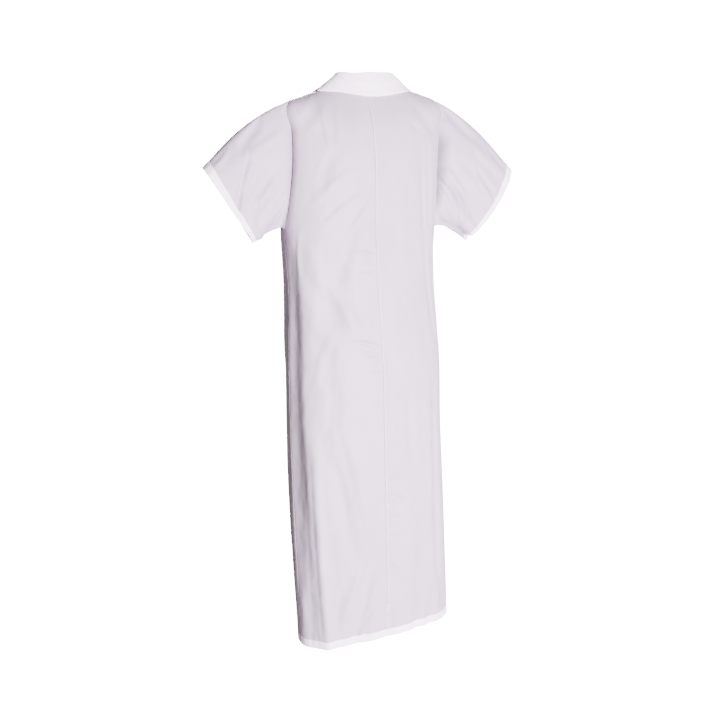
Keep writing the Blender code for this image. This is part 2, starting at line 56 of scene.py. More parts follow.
camera = bpy.data.objects.new("camera", bpy.data.cameras.new("camera"))
camera.data.sensor_width = 36.0
camera.data.lens = 45.0
across = Vector((-math.cos(TURN), math.sin(TURN), 0.0))
ahead = Vector((-math.sin(TURN), -math.cos(TURN), 0.0))
level = ahead * math.cos(YAW) - across * math.sin(YAW)
to_right = across * math.cos(YAW) + ahead * math.sin(YAW)
forward = level * math.cos(PITCH) + Vector((0.0, 0.0, -math.sin(PITCH)))
upward = to_right.cross(forward)
camera.matrix_world = Matrix((
    (to_right.x, upward.x, -forward.x, -ahead.x * DISTANCE),
    (to_right.y, upward.y, -forward.y, -ahead.y * DISTANCE),
    (to_right.z, upward.z, -forward.z, CAMERA_Z),
    (0.0, 0.0, 0.0, 1.0)))
bpy.context.scene.collection.objects.link(camera)
bpy.context.scene.camera = camera


def fill(tree, node, inputs):
    """Inputs of a node by name or number: a socket is joined to it, anything else is its value."""
    for key, value in inputs.items():
        if isinstance(value, bpy.types.NodeSocket):
            tree.links.new(value, node.inputs[key])
        else:
            node.inputs[key].default_value = value
    return node


def node_maker(tree):
    """Short call that adds a node to a tree: its kind, its inputs, then its settings."""
    def add(kind, inputs, **settings):
        node = tree.nodes.new("ShaderNode" + kind)
        for key, value in settings.items():
            setattr(node, key, value)
        return fill(tree, node, inputs)
    return add


def remap(add, value, low, high, to_low, to_high):
    """Socket with a value moved from one range to another."""
    return add("MapRange", {"Value": value, "From Min": low, "From Max": high,
                            "To Min": to_low, "To Max": to_high}).outputs["Result"]


TOWARDS_DIM = (0.62, 0.0, 0.78)  # the light from around is dimmer above and on the wearer's left

world = bpy.data.worlds.new("studio")
world.use_nodes = True
add = node_maker(world.node_tree)
direction = add("TexCoord", {}).outputs["Generated"]
dimness = add("VectorMath", {0: direction, 1: TOWARDS_DIM}, operation="DOT_PRODUCT").outputs["Value"]
fill(world.node_tree, world.node_tree.nodes["Background"], {
    "Color": (1.0, 0.920, 0.945, 1.0), "Strength": remap(add, dimness, -0.7, 0.8, 0.80, 0.14)})
bpy.context.scene.world = world


def add_softbox(name, place, aim, size, power, colour):
    """Square soft light at a place, turned towards its aim."""
    lamp = bpy.data.lights.new(name, "AREA")
    lamp.size = size
    lamp.energy = power
    lamp.color = colour
    softbox = bpy.data.objects.new(name, lamp)
    softbox.location = place
    turned = (Vector(aim) - Vector(place)).to_track_quat("-Z", "Y")
    softbox.rotation_euler = turned.to_euler()
    bpy.context.scene.collection.objects.link(softbox)


add_softbox("key_light", (-0.22, 2.78, -0.85), (0.0, 0.0, -0.58), 1.4, 600.0, (0.985, 0.905, 1.0))
add_softbox("front_light", (-1.0, -2.8, 1.0), (0.0, 0.0, -0.60), 1.8, 560.0, (0.985, 0.92, 1.0))


def add_stage(name, mesh, glow):
    """Pale surface that the camera sees nearly white; it throws no light on the tunic."""
    pale = bpy.data.materials.new(name)
    pale.use_nodes = True
    fill(pale.node_tree, pale.node_tree.nodes["Principled BSDF"], {
        "Base Color": (0.80, 0.80, 0.80, 1.0), "Roughness": 0.9,
        "Emission Color": (1.0, 1.0, 1.0, 1.0), "Emission Strength": glow})
    mesh.materials.append(pale)
    surface = bpy.data.objects.new(name, mesh)
    surface.visible_diffuse = False
    surface.visible_glossy = False
    surface.visible_shadow = False
    bpy.context.scene.collection.objects.link(surface)


FLOOR_Z = -1.62
REACH = 12.0
floor_mesh = bpy.data.meshes.new("floor")
floor_mesh.from_pydata([(-REACH, -REACH, FLOOR_Z), (REACH, -REACH, FLOOR_Z),
                        (REACH, REACH, FLOOR_Z), (-REACH, REACH, FLOOR_Z)], [], [(0, 1, 2, 3)])
add_stage("floor", floor_mesh, 24.0)
cyclorama = bmesh.new()
bmesh.ops.create_icosphere(cyclorama, subdivisions=4, radius=REACH)
bmesh.ops.reverse_faces(cyclorama, faces=cyclorama.faces)
backdrop_mesh = bpy.data.meshes.new("backdrop")
cyclorama.to_mesh(backdrop_mesh)
cyclorama.free()
add_stage("backdrop", backdrop_mesh, 24.0)


# ---- Backs: two panels of thin white poly-cotton, joined by a seam that wanders down the middle.
# Each is a stretch of one tube of rings, cut at its seams and finished with a turned-up hem.
CLOTH = 0.0006  # wall of one layer
SOLID_WALL = 0.0015  # wall of one layer in the solids
SEAM_PULL = 0.00006
HEM_DROP = 1.313  # neckline to hem
HEM_TURN = 0.021
UNDERARM_DROP = 0.315
SHOULDER_DROP = 0.070
ARMHOLE_BACK = 0.020
ARMHOLE_FRONT = 0.042
ARMHOLE_ROUND = 0.65
STEP = 1e-4  # steps for slopes, metres and degrees
ANGLE_STEP = 0.5
BACK_COLUMNS = 76
FINE_ZONE = 0.012  # above a hem's stitching, rows are finer
RING_COLUMNS = (
    "drop", "side_z", "back_z", "front_z", "right_rise", "half_width", "back_y", "front_y",
    "square", "sway", "seam_x", "side_y")
RINGS = np.array((
    (0, 0, -4, -80, 0, 70, 32, -86, 2.00, 0, 12, 2),
    (22, -11, -24, -95, 3, 103, 40, -94, 2.00, 0, 12, 3),
    (45, -24, -46, -112, 6, 143, 50, -101, 2.05, 0, 11, 5),
    (70, -38, -72, -130, 6, 182, 61, -107, 2.15, 0, 10, 8),
    (120, -90, -122, -164, 3, 187, 73, -114, 2.30, 1, 9, 6),
    (190, -170, -191, -212, 0, 186, 79, -121, 2.40, 3, 7, 2),
    (260, -246, -260, -264, -2, 185, 80, -124, 2.40, 5, 4, -2),
    (315, -306, -315, -315, -6, 184, 80, -125, 2.40, 6, 3, -4),
    (430, -430, -430, -430, 0, 180, 82, -125, 2.40, 3, 1, -4),
    (620, -620, -620, -620, 0, 191, 92, -119, 2.45, -5, 0, -3),
    (780, -780, -780, -780, 0, 194, 96, -113, 2.45, -8, 1, -1),
    (970, -970, -970, -970, 0, 199, 97, -104, 2.55, -15, 3, 4),
    (1313, -1313, -1304, -1313, 0, 205, 88, -66, 2.60, -32, 6, 12),
)) / ((1000.0,) * 8 + (1.0,) + (1000.0,) * 3)  # from millimetres, all but the square
# the folds that the solids have: drop and angle at both ends, half spread in degrees, height in mm
FOLDS = (
    (0.74, 1.40, 35, 43, 13, 6), (0.34, 1.20, 12, 16, 17, -8), (0.30, 0.62, 62, 44, 14, -3.5),
    (0.42, 0.80, 70, 58, 12, 3.5), (0.60, 1.05, 66, 58, 11, -3), (1.00, 1.36, 82, 62, 9, -4),
    (1.10, 1.36, 90, 74, 8, 3), (0.12, 0.56, 152, 168, 9, -4), (0.08, 0.40, 163, 174, 8, 4),
    (0.86, 1.20, 112, 120, 9, -2.5), (1.18, 1.36, 128, 136, 12, 3.5), (1.16, 1.36, 104, 112, 9, -3),
    (0.14, 0.50, 222, 205, 13, 4), (0.16, 0.62, 318, 336, 13, 4.5), (0.40, 1.10, 238, 231, 14, -6),
    (0.46, 1.22, 305, 312, 14, -6.5), (0.60, 1.38, 216, 214, 13, 6), (0.66, 1.38, 329, 325, 12, 5),
    (0.78, 1.38, 250, 246, 9, 4), (0.84, 1.38, 290, 293, 10, -4),
)


def smooth(columns, table, name, at):
    """One named column of a table read at places, as cubics through its rows (first column)."""
    place = np.array([row[0] for row in table])
    value = np.array([row[columns.index(name)] for row in table])
    width = np.diff(place)
    rise = np.diff(value) / width
    slope = np.empty_like(value)
    slope[0] = rise[0]
    slope[-1] = rise[-1]
    slope[1:-1] = (rise[:-1] * width[1:] + rise[1:] * width[:-1]) / (width[:-1] + width[1:])
    at = np.asarray(at, float)
    k = np.clip(np.searchsorted(place, at) - 1, 0, len(width) - 1)
    t = np.clip((at - place[k]) / width[k], 0.0, 1.0)
    return ((2 * t ** 3 - 3 * t ** 2 + 1) * value[k] + (t ** 3 - 2 * t ** 2 + t) * width[k] * slope[k]
            + (3 * t ** 2 - 2 * t ** 3) * value[k + 1] + (t ** 3 - t ** 2) * width[k] * slope[k + 1])


def ring(name, drop):
    """One measure of the body's rings at a drop."""
    return smooth(RING_COLUMNS, RINGS, name, drop)


def unit(vector):
    """Vectors made one long."""
    return vector / np.linalg.norm(vector, axis=-1, keepdims=True)


def hump(value):
    """1 - value^2: 1 in the middle and 0 from 1 outwards."""
    return np.clip(1.0 - value ** 2, 0.0, 1.0)


def fold_lift(folds, along, around):
    """Sum of soft ridges, heights in mm: (1 - across^2)^2, faded out towards both ends."""
    lift = np.zeros(np.broadcast(along, around).shape)
    for start, end, start_angle, end_angle, spread, height in folds:
        t = (along - start) / (end - start)
        angle = start_angle + (end_angle - start_angle) * t
        over = ((around - angle + 180.0) % 360.0 - 180.0) / spread
        length = hump(2.0 * t - 1.0)
        lift += height / 1000.0 * hump(over) ** 2 * length * (2.0 - length)
    return lift


def bare_tube(drop, angle):
    """Body without folds: oval |x/width|^n + |y/depth|^n = 1, tilted from its side to its front."""
    drop, angle = np.broadcast_arrays(np.asarray(drop, float), np.asarray(angle, float))
    cos, sin = np.cos(np.radians(angle)), np.sin(np.radians(angle))
    square = ring("square", drop)
    round_off = (np.abs(cos) ** square + np.abs(sin) ** square) ** (-1.0 / square)
    at_back = sin > 0
    depth = np.where(at_back, ring("back_y", drop), -ring("front_y", drop))
    end_z = np.where(at_back, ring("back_z", drop), ring("front_z", drop))
    side_z = ring("side_z", drop)
    x = ring("sway", drop) + ring("half_width", drop) * cos * round_off
    y = depth * sin * round_off
    z = side_z + (end_z - side_z) * sin ** 2 + ring("right_rise", drop) * np.clip(-cos, 0.0, 1.0)
    return np.stack((x, y, z), -1)


def surface_normal(surface, along, around, along_step, around_step):
    """Outward normal of a surface of two places, from its two slopes."""
    down = surface(along + along_step, around) - surface(along - along_step, around)
    turn = surface(along, around + around_step) - surface(along, around - around_step)
    return unit(np.cross(turn, -down))


def tube(drop, angle):
    """Body with its folds, at a drop in metres and an angle (0 left, 90 back, 270 front)."""
    inside = np.clip(drop, STEP, HEM_DROP - STEP)
    normal = surface_normal(bare_tube, inside, angle, STEP, 2 * ANGLE_STEP)
    return bare_tube(drop, angle) + normal * fold_lift(FOLDS, drop, angle)[..., None]


def tube_normal(drop, angle):
    """Outward normal of the body with its folds."""
    inside = np.clip(drop, 2 * STEP, HEM_DROP - 2 * STEP)
    return surface_normal(tube, inside, angle, STEP, ANGLE_STEP)


def side_angle(drop, side, face):
    """Angle of a panel's side edge; down the armhole it bows off by a rounded half sine."""
    down = np.clip((drop - SHOULDER_DROP) / (UNDERARM_DROP - SHOULDER_DROP), 0.0, 1.0)
    bow = ARMHOLE_BACK if face == "back" else -ARMHOLE_FRONT
    edge_y = ring("side_y", drop) + bow * np.sin(math.pi * down) ** ARMHOLE_ROUND
    depth = np.where(edge_y > 0, ring("back_y", drop), -ring("front_y", drop))
    square = ring("square", drop)
    over = (1.0 - np.abs(edge_y / depth) ** square) ** (1.0 / square)
    return np.degrees(np.arctan2(edge_y / depth, side * over)) % 360.0


def back_seam_angle(drop):
    """Angle of the centre-back seam."""
    return 90.0 - np.degrees(np.arcsin(ring("seam_x", drop) / ring("half_width", drop)))


def soft_step(value, low, high):
    """0 below low, 1 above high, with an even S between."""
    t = np.clip((value - low) / (high - low), 0.0, 1.0)
    return t * t * (3.0 - 2.0 * t)


def between(value, low, full, end, gone):
    """0 below low, 1 from full to end, 0 above gone, with an even S at both sides."""
    return soft_step(value, low, full) * (1.0 - soft_step(value, end, gone))


def crease_lift(creases, across, along):
    """Sum of creases drawn on the flat cloth: from one point to another, bowed aside.

    Each has the section (1 - d^2)^2 (1 + lean d), d being the distance off its line in half
    widths, and fades out at both ends with 1 - (2t - 1)^2.
    """
    lift = np.zeros(across.shape)
    for x0, y0, x1, y1, bow, half, lean, height in creases:
        run = math.hypot(x1 - x0, y1 - y0)
        dx, dy = (x1 - x0) / run, (y1 - y0) / run
        fade = hump(2.0 * ((across - x0) * dx + (along - y0) * dy) / run - 1.0)
        off = (across - x0) * dy - (along - y0) * dx - bow * fade
        d = np.clip(off / half, -1.0, 1.0)
        lift += height * hump(d) ** 2 * (1.0 + lean * d) * fade
    return lift


def slack(across, along, seed):
    """Faint uneven waves of thin cloth: crossing sines, up to about 0.5 mm high."""
    a = np.sin(across * 61.0 + 2.1 * np.sin(along * 9.0 + seed) + seed)
    b = np.sin(along * 23.0 + 1.7 * np.sin(across * 17.0 - seed) + 2.0 * seed)
    c = np.sin(across * 113.0 - along * 31.0 + 3.0 * seed)
    d = np.sin(across * 37.0 + along * 71.0 + 5.0 * seed)
    return 0.00022 * a * (1.0 + 0.6 * b) + 0.00009 * c * (1.0 + d)


def pucker(distance, along, places, pitch, reach_in):
    """Ripples square to a seam: a warped sine along it, strong near the listed places only.

    places holds rows of (place along the seam, half length, height).
    """
    warp = 2.6 * np.sin(along * 31.0) + 1.9 * np.sin(along * 67.0)
    strength = sum(height * hump((along - place) / half) ** 2 for place, half, height in places)
    fade = np.clip(1.0 - distance / reach_in, 0.0, 1.0) ** 1.5 * soft_step(distance, 0.0, 0.003)
    return np.sin(2.0 * math.pi * along / pitch + warp) * strength * fade


def new_piece(name, points, faces):
    """Smooth mesh object, attached to the body."""
    mesh = bpy.data.meshes.new(name)
    mesh.from_pydata(points.tolist(), [], faces)
    mesh.polygons.foreach_set("use_smooth", np.ones(len(faces), dtype=bool))
    mesh.validate()
    piece = bpy.data.objects.new(name, mesh)
    bpy.context.scene.collection.objects.link(piece)
    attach(piece, "root")
    return piece


def grid_quads(index):
    """Quads of a grid of point numbers, one for each cell."""
    return np.stack((index[:-1, :-1], index[:-1, 1:], index[1:, 1:], index[1:, :-1]), -1).reshape(-1, 4)


def wall_faces(rows, columns, wrap):
    """Quads of a closed wall: an outer grid, the inner one turned round, and the edges."""
    index = np.arange(rows * columns).reshape(rows, columns)
    ring_of = np.concatenate((index, index[:, :1]), 1) if wrap else index
    quads = grid_quads(ring_of)
    count = rows * columns
    parts = [quads, quads[:, ::-1] + count]
    loops = [ring_of[0], ring_of[-1][::-1]]
    if not wrap:
        loops = [np.concatenate((index[0], index[1:, -1], index[-1, -2::-1], index[-2::-1, 0]))]
    for loop in loops:
        a, b = loop[:-1], loop[1:]
        parts.append(np.stack((b, a, a + count, b + count), -1))
    return np.concatenate(parts)


def grid_normals(grid, wrap=False):
    """Outward normals of an outer grid of cloth."""
    around = np.concatenate((grid[:, -1:], grid, grid[:, :1]), 1) if wrap else grid
    turn = np.gradient(around, axis=1)
    return unit(np.cross(np.gradient(grid, axis=0), turn[:, 1:-1] if wrap else turn))


def cloth_wall(name, outer, thickness, uv, layers, wrap=False):
    """Closed wall of cloth: the outer grid, and the same grid moved in by the thickness.

    Its uv is in metres on the cut cloth, and each point knows its count of cloth layers; values below 1
    carry a painted shade.
    """
    inner = outer - grid_normals(outer, wrap) * thickness[..., None]
    points = np.concatenate((outer.reshape(-1, 3), inner.reshape(-1, 3)))
    faces = wall_faces(*outer.shape[:2], wrap)
    piece = new_piece(name, points, faces.tolist())
    by_corner = np.tile(uv.reshape(-1, 2), (2, 1))[faces.ravel()]
    cut = piece.data.uv_layers.new(name="cut")
    cut.data.foreach_set("uv", by_corner.astype(np.float32).ravel())
    # layers attribute: count of cloth layers, and below 1 a painted shade that darkens the colour
    layers_and_shade = piece.data.attributes.new("layers", "FLOAT", "POINT")
    layers_and_shade.data.foreach_set("value", np.tile(layers.ravel(), 2).astype(np.float32))
    return piece


def body_rows():
    """Drops of the fine rows: shoulder, armhole, skirt and hem, finer at the hem's stitching."""
    band = HEM_DROP - HEM_TURN
    return np.concatenate((
        np.linspace(0.0, SHOULDER_DROP, 25),
        np.linspace(SHOULDER_DROP, UNDERARM_DROP, 85)[1:],
        np.linspace(UNDERARM_DROP, band - FINE_ZONE, 300)[1:],
        np.linspace(band - FINE_ZONE, HEM_DROP, 24)[1:]))


def across_cloth(points, zero):
    """Metres across the cloth in each row, counted from a column."""
    length = np.linalg.norm(np.diff(points, axis=1), axis=-1)
    run = np.concatenate((np.zeros((len(points), 1)), np.cumsum(length, axis=1)), 1)
    return run - run[:, zero:zero + 1]


# creases of the backs: across and drop at both ends (across counts from the seam, + to the
# left), bow, half width, lean, height; in millimetres, all but the lean
CREASE_UNITS = (1000.0,) * 6 + (1.0, 1000.0)
BACK_CREASES = np.array((
    # broad slack of the left back
    (10, 290, 80, 450, 0, 34, 0, 4.5), (100, 360, 30, 520, 10, 28, 0, -4),
    (166, 410, 70, 590, -12, 32, 0, -4.5), (170, 480, 96, 600, -8, 30, 0, 4),
    (150, 330, 134, 430, 0, 24, 0, 3.5),
    # ridge down to the hem
    (165, 740, 149, 1460, 4, 16, 0.4, 5.5), (197, 760, 185, 1460, 3, 34, 0, -4),
    (136, 760, 66, 1130, 6, 28, 0, -3.6), (96, 740, 34, 1060, -6, 26, 0, 3),
    (130, 620, 120, 760, -8, 26, 0.2, -4),
    # pulls left of the seam
    (4, 366, 48, 352, 2, 6, 0.4, 3.1), (4, 377, 36, 365, -2, 5, -0.3, -2.2),
    (4, 412, 60, 398, 3, 6, 0.4, 2.7), (4, 568, 75, 550, 2, 7, 0.5, 3.7),
    (4, 581, 52, 569, 2, 5, -0.3, -2.4), (4, 599, 50, 580, -2, 6, 0.3, 3.2),
    (4, 612, 34, 603, 1, 4, 0.2, -2), (4, 634, 40, 620, 2, 5, 0.4, 2.7),
    (4, 708, 30, 700, 1, 5, 0.2, 2),
    # and right of it
    (-3, 866, -48, 890, 2, 6, 0.4, 3.4), (-3, 882, -30, 899, 1, 4, -0.3, -2.6),
    (-3, 912, -55, 948, -3, 7, 0.5, 5.1), (-3, 930, -42, 962, 2, 6, -0.4, -4.1),
    (-3, 956, -42, 986, 2, 6, 0.4, 4.1), (-3, 975, -34, 1000, 1, 5, 0.3, -3.1),
    (-3, 1014, -34, 1043, -2, 5, 0.3, 3.4), (-3, 1040, -26, 1060, 2, 4, -0.3, -2.4),
    (-3, 1094, -32, 1121, 1, 5, 0.3, 3.1), (-3, 1160, -24, 1178, 1, 5, 0.2, 2),
    # drags to the hem
    (52, 1070, 122, 1270, 4, 16, 0.5, 4.8), (40, 1120, 92, 1300, -3, 13, -0.4, -4.2),
    (12, 1205, 84, 1310, 2, 10, 0.5, 3.4), (26, 1240, 90, 1320, -1, 8, -0.3, -2.6),
    (100, 1120, 142, 1260, 3, 12, 0.3, -2.6),
    # ripples over the hem
    (-26, 1180, -20, 1330, 1, 8, 0.3, 1.8), (-50, 1195, -42, 1335, 2, 9, -0.3, -2.6),
    (-70, 1190, -60, 1335, -1, 9, 0.3, 2.8), (-94, 1206, -82, 1335, 1, 9, -0.2, -2.8),
    (-116, 1194, -104, 1335, 1, 10, 0.3, 2.8), (-136, 1216, -122, 1335, 0, 8, 0.3, -2.2),
    (-160, 1180, -146, 1335, 2, 11, 0.2, 2.4),
    # broad swell of the right back
    (-60, 1020, -45, 1440, 4, 55, 0.2, 5),
    # nicks below the shoulders
    (-99, 84, -118, 110, 1, 6, 0.3, -1.6), (-108, 80, -124, 98, 1, 4, 0.3, 1.1),
    (-110, 40, -172, 120, 4, 18, 0.2, -3.4), (110, 40, 172, 116, -4, 18, 0.2, -3.4),
    (112, 50, 100, 150, 3, 9, 0.4, 2), (98, 46, 92, 128, -2, 7, -0.3, -1.6),
    (76, 36, 78, 118, 2, 8, 0.3, 1.4),
    # drags from the left armhole, and the left flank
    (28, 232, 122, 304, 6, 13, 0.4, 2.6), (8, 212, 92, 324, -4, 12, -0.4, -2.4),
    (50, 176, 150, 262, 4, 13, 0.3, 2), (84, 130, 130, 250, 6, 20, 0.2, -3),
    (110, 520, 160, 660, 8, 16, 0.3, 2.2), (170, 300, 178, 420, 3, 9, 0.4, 2.2),
    (100, 700, 70, 860, 6, 16, 0.3, 2), (130, 820, 100, 980, -6, 16, -0.3, -2),
    # strip by the right armhole, and the right back
    (-156, 110, -166, 350, 3, 12, 0.3, 3.6), (-122, 130, -138, 350, 3, 12, -0.5, -3.8),
    (-134, 290, -166, 610, 4, 14, -0.4, -3.6), (-176, 360, -188, 560, 2, 12, 0.3, 2.4),
    (-70, 640, -90, 900, 8, 20, 0.3, -2.4), (-120, 600, -134, 1060, -6, 20, 0.3, 2.6),
    (-154, 640, -160, 1270, 4, 18, 0.2, -4), (-60, 130, -80, 420, 4, 20, 0.2, 2.2),
)) / CREASE_UNITS
SEAM_PUCKERS = ((0.06, 0.05, 0.0003), (0.37, 0.05, 0.0005), (0.60, 0.07, 0.0006),
                (0.93, 0.10, 0.0007), (1.05, 0.10, 0.0005), (1.24, 0.06, 0.0004))
SIDE_PUCKERS = ((0.40, 0.08, 0.0004), (0.66, 0.12, 0.0005), (0.95, 0.12, 0.0004),
                (1.22, 0.10, 0.0005))
HEM_PITCH = 0.024
STITCH_HALF = 0.0016  # half width of the groove that a stitched row pulls in
VALLEY_DEEP = {1: 0.0095, -1: 0.0030}  # at the left and at the right armhole
VALLEY_HALF = 0.024
TURNING_TONE = 0.28  # the seam's turning shines through as part of a second layer
SHADE_DEEP = 0.06  # shade on the left back beside its armhole
SHADE_HALF = 0.007


def hem_layers(rows):
    """Layers of cloth: one, and two in the turned-up hem."""
    line = HEM_DROP - HEM_TURN
    return 1.0 + soft_step(rows, line - 0.0008, line)


def hem_lift(drop, across):
    """Hem seen from outside: a stitched groove, a soft band below, ripples dying out above."""
    from_line = drop - (HEM_DROP - HEM_TURN)
    groove = -0.00055 * hump(from_line / STITCH_HALF)
    band = 0.0004 * between(from_line, 0.0015, 0.006, 0.017, 0.021)
    warp = 1.8 * np.sin(across * 41.0) + 1.1 * np.sin(across * 97.0)
    wave = np.sin(2.0 * math.pi * across / HEM_PITCH + warp)
    return groove + band + 0.00035 * wave * between(from_line, -0.045, -0.004, 0.006, 0.02)


def seam_lift(distance, raised):
    """Cloth beside a seam: it dips a little and, on the raised side, rides over the turning.

    The raised side has a rounded ridge 3 mm wide at the seam and a low pad behind it.
    """
    dip = -0.00022 * np.clip(1.0 - distance / 0.0020, 0.0, 1.0)
    ridge = 0.00060 * between(distance, 0.0, 0.0014, 0.0020, 0.0044)
    pad = 0.00030 * between(distance, 0.0004, 0.0030, 0.0085, 0.0125)
    return dip + (ridge + pad if raised else 0.0)


def armhole_dip(drop, side):
    """Depth of the valley that the armhole seam lies in: full below the shoulder, then easing."""
    down = between(drop, 0.092, 0.135, 0.270, UNDERARM_DROP)
    return VALLEY_DEEP[side] * down * (1.0 - 0.45 * soft_step(drop, 0.170, 0.270))


def valley(distance, half):
    """Section of that valley: 1 at the seam, falling to 0 with (1 - d)^2."""
    return np.clip(1.0 - distance / half, 0.0, 1.0) ** 2


def armhole_shade(drop):
    """Where the painted shade along an armhole lies, as a share of its full tone."""
    return between(drop, 0.110, 0.150, 0.262, 0.292)


def lay_panel(drop, start, end, share):
    """Panel between two angles: its drops, bare cloth, normals and metres in from both edges."""
    angle = start[:, None] + (end - start)[:, None] * share
    rows = np.repeat(drop[:, None], len(share), axis=1)
    bare = tube(rows, angle)
    from_start = across_cloth(bare, 0)
    return rows, bare, tube_normal(rows, angle), from_start, from_start[:, -1:] - from_start


def sew_panel(name, outer, layers, tone_and_shade, uv, turn_round, wrap=False):
    """Panel as a closed wall on the body: layers give its thickness, and its tone gives its colour,
    paler where two layers lie and darker where shade is painted.
    """
    if turn_round:
        outer, layers, tone_and_shade, uv = (grid[:, ::-1] for grid in (outer, layers, tone_and_shade, uv))
    return cloth_wall(name, outer, CLOTH * layers, uv, tone_and_shade, wrap), outer


def make_back(name, side):
    """One back panel between the centre seam and the side seam, with all its creases."""
    drop = body_rows()
    edge = side_angle(drop, side, "back")
    if side < 0:
        edge = np.where(edge < 90.0, edge + 360.0, edge)
    else:
        edge = (edge + 180.0) % 360.0 - 180.0
    share = np.concatenate((np.linspace(0.0, 0.03, 7), np.linspace(0.03, 1.0, BACK_COLUMNS - 6)[1:]))
    rows, bare, normal, from_seam, from_side = lay_panel(drop, back_seam_angle(drop), edge, share)
    across = side * from_seam
    lift = crease_lift(BACK_CREASES, across, rows) + slack(across, rows, 0.4)
    lift += pucker(from_seam, rows, SEAM_PUCKERS, 0.019, 0.030)
    lift += pucker(from_side, rows, SIDE_PUCKERS, 0.026, 0.022)
    hold = soft_step(from_side, 0.0, 0.008) * soft_step(from_seam, 0.0, 0.004)
    lift = lift * hold * soft_step(rows, 0.0, 0.012) + hem_lift(rows, across)
    lift -= armhole_dip(rows, side) * valley(from_side, VALLEY_HALF)
    below_collar = soft_step(rows, 0.010, 0.060)
    lift += seam_lift(from_seam, side < 0) * below_collar
    at_armhole = between(rows, SHOULDER_DROP - 0.004, SHOULDER_DROP,
                         UNDERARM_DROP, UNDERARM_DROP + 0.004)
    lift += seam_lift(from_side, side < 0) * (1.0 - at_armhole)
    outer = bare + normal * lift[..., None]
    outer[:, 0] += unit(outer[:, 1] - outer[:, 0]) * SEAM_PULL
    outer[:, -1] += unit(outer[:, -2] - outer[:, -1]) * SEAM_PULL
    outer[0] += unit(outer[1] - outer[0]) * SEAM_PULL
    layers = hem_layers(rows)
    if side < 0:
        turning = TURNING_TONE * (1.0 - soft_step(from_seam, 0.0022, 0.0040))
        tone_and_shade = np.maximum(layers, 1.0 + turning * below_collar)
    else:
        # painted shade: the left back's colour is darkened in a strip beside its armhole seam
        tone_and_shade = layers - SHADE_DEEP * hump(from_side / SHADE_HALF) * armhole_shade(rows)
    return sew_panel(name, outer, layers, tone_and_shade, np.stack((across, rows), -1), side > 0)


def make_cloth(name, single, double, roughness):
    """Plain-woven poly-cotton: slubby threads both ways, paler where two layers lie together.

    The uv is in metres on the cut cloth.  The colour moves from single to double as the layers
    go from 1 to 2, and darkens below 1, where they stand for the shade of a valley.  Threads,
    slubs and broad slack go into the colour a little and into the bump.
    """
    cloth = bpy.data.materials.new(name)
    cloth.use_nodes = True
    tree = cloth.node_tree
    add = node_maker(tree)
    cut = add("UVMap", {}, uv_map="cut").outputs["UV"]
    layers = add("Attribute", {}, attribute_name="layers").outputs["Fac"]

    def cloud(stretch, turn, detail):
        """Noise on the cut cloth, so many to a metre each way."""
        place = add("Mapping", {"Vector": cut, "Scale": (*stretch, 1.0), "Rotation": (0.0, 0.0, turn)})
        return add("TexNoise", {"Vector": place.outputs["Vector"], "Scale": 1.0, "Detail": detail},
                   noise_dimensions="2D").outputs["Fac"]

    threads = add("Math", {0: cloud((900.0, 26.0), 0.0, 3.0), 1: cloud((30.0, 1100.0), 0.0, 3.0)},
                  operation="ADD").outputs["Value"]
    blotch = cloud((16.0, 9.0), 0.5, 2.0)
    body = add("Mix", {0: remap(add, layers, 1.0, 2.0, 0.0, 1.0), 6: (*single, 1.0),
                       7: (*double, 1.0)}, data_type="RGBA").outputs[2]
    uneven = add("Math", {0: remap(add, threads, 0.6, 1.4, 0.975, 1.02),
                          1: remap(add, blotch, 0.3, 0.7, 0.975, 1.025)}, operation="MULTIPLY")
    # painted shade: where the layers attribute falls below 1 the colour darkens, to 0.30 of itself at
    # 0.5
    uneven_and_shade = add("Math", {0: uneven.outputs["Value"], 1: remap(add, layers, 0.5, 1.0, 0.30, 1.0)},
                operation="MULTIPLY")
    colour_and_shade = add("VectorMath", {0: body, "Scale": uneven_and_shade.outputs["Value"]}, operation="SCALE")
    broad = add("Bump", {"Height": blotch, "Strength": 0.55, "Distance": 0.0100})
    weave = add("Bump", {"Height": threads, "Strength": 0.18, "Distance": 0.0004,
                         "Normal": broad.outputs["Normal"]})
    fill(tree, tree.nodes["Principled BSDF"], {
        "Base Color": colour_and_shade.outputs["Vector"], "Normal": weave.outputs["Normal"],
        "Roughness": roughness, "Specular IOR Level": 0.32, "Sheen Weight": 0.20,
        "Sheen Roughness": 0.45})
    return cloth


body_cloth = make_cloth("body_cloth", (0.425, 0.352, 0.440), (0.905, 0.800, 0.930), 0.56)
back_left, back_left_grid = make_back("back_left_cloth", 1)
back_right, back_right_grid = make_back("back_right_cloth", -1)
for panel, node in ((back_left, "back_left"), (back_right, "back_right")):
    panel.data.materials.append(body_cloth)
    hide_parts(node)


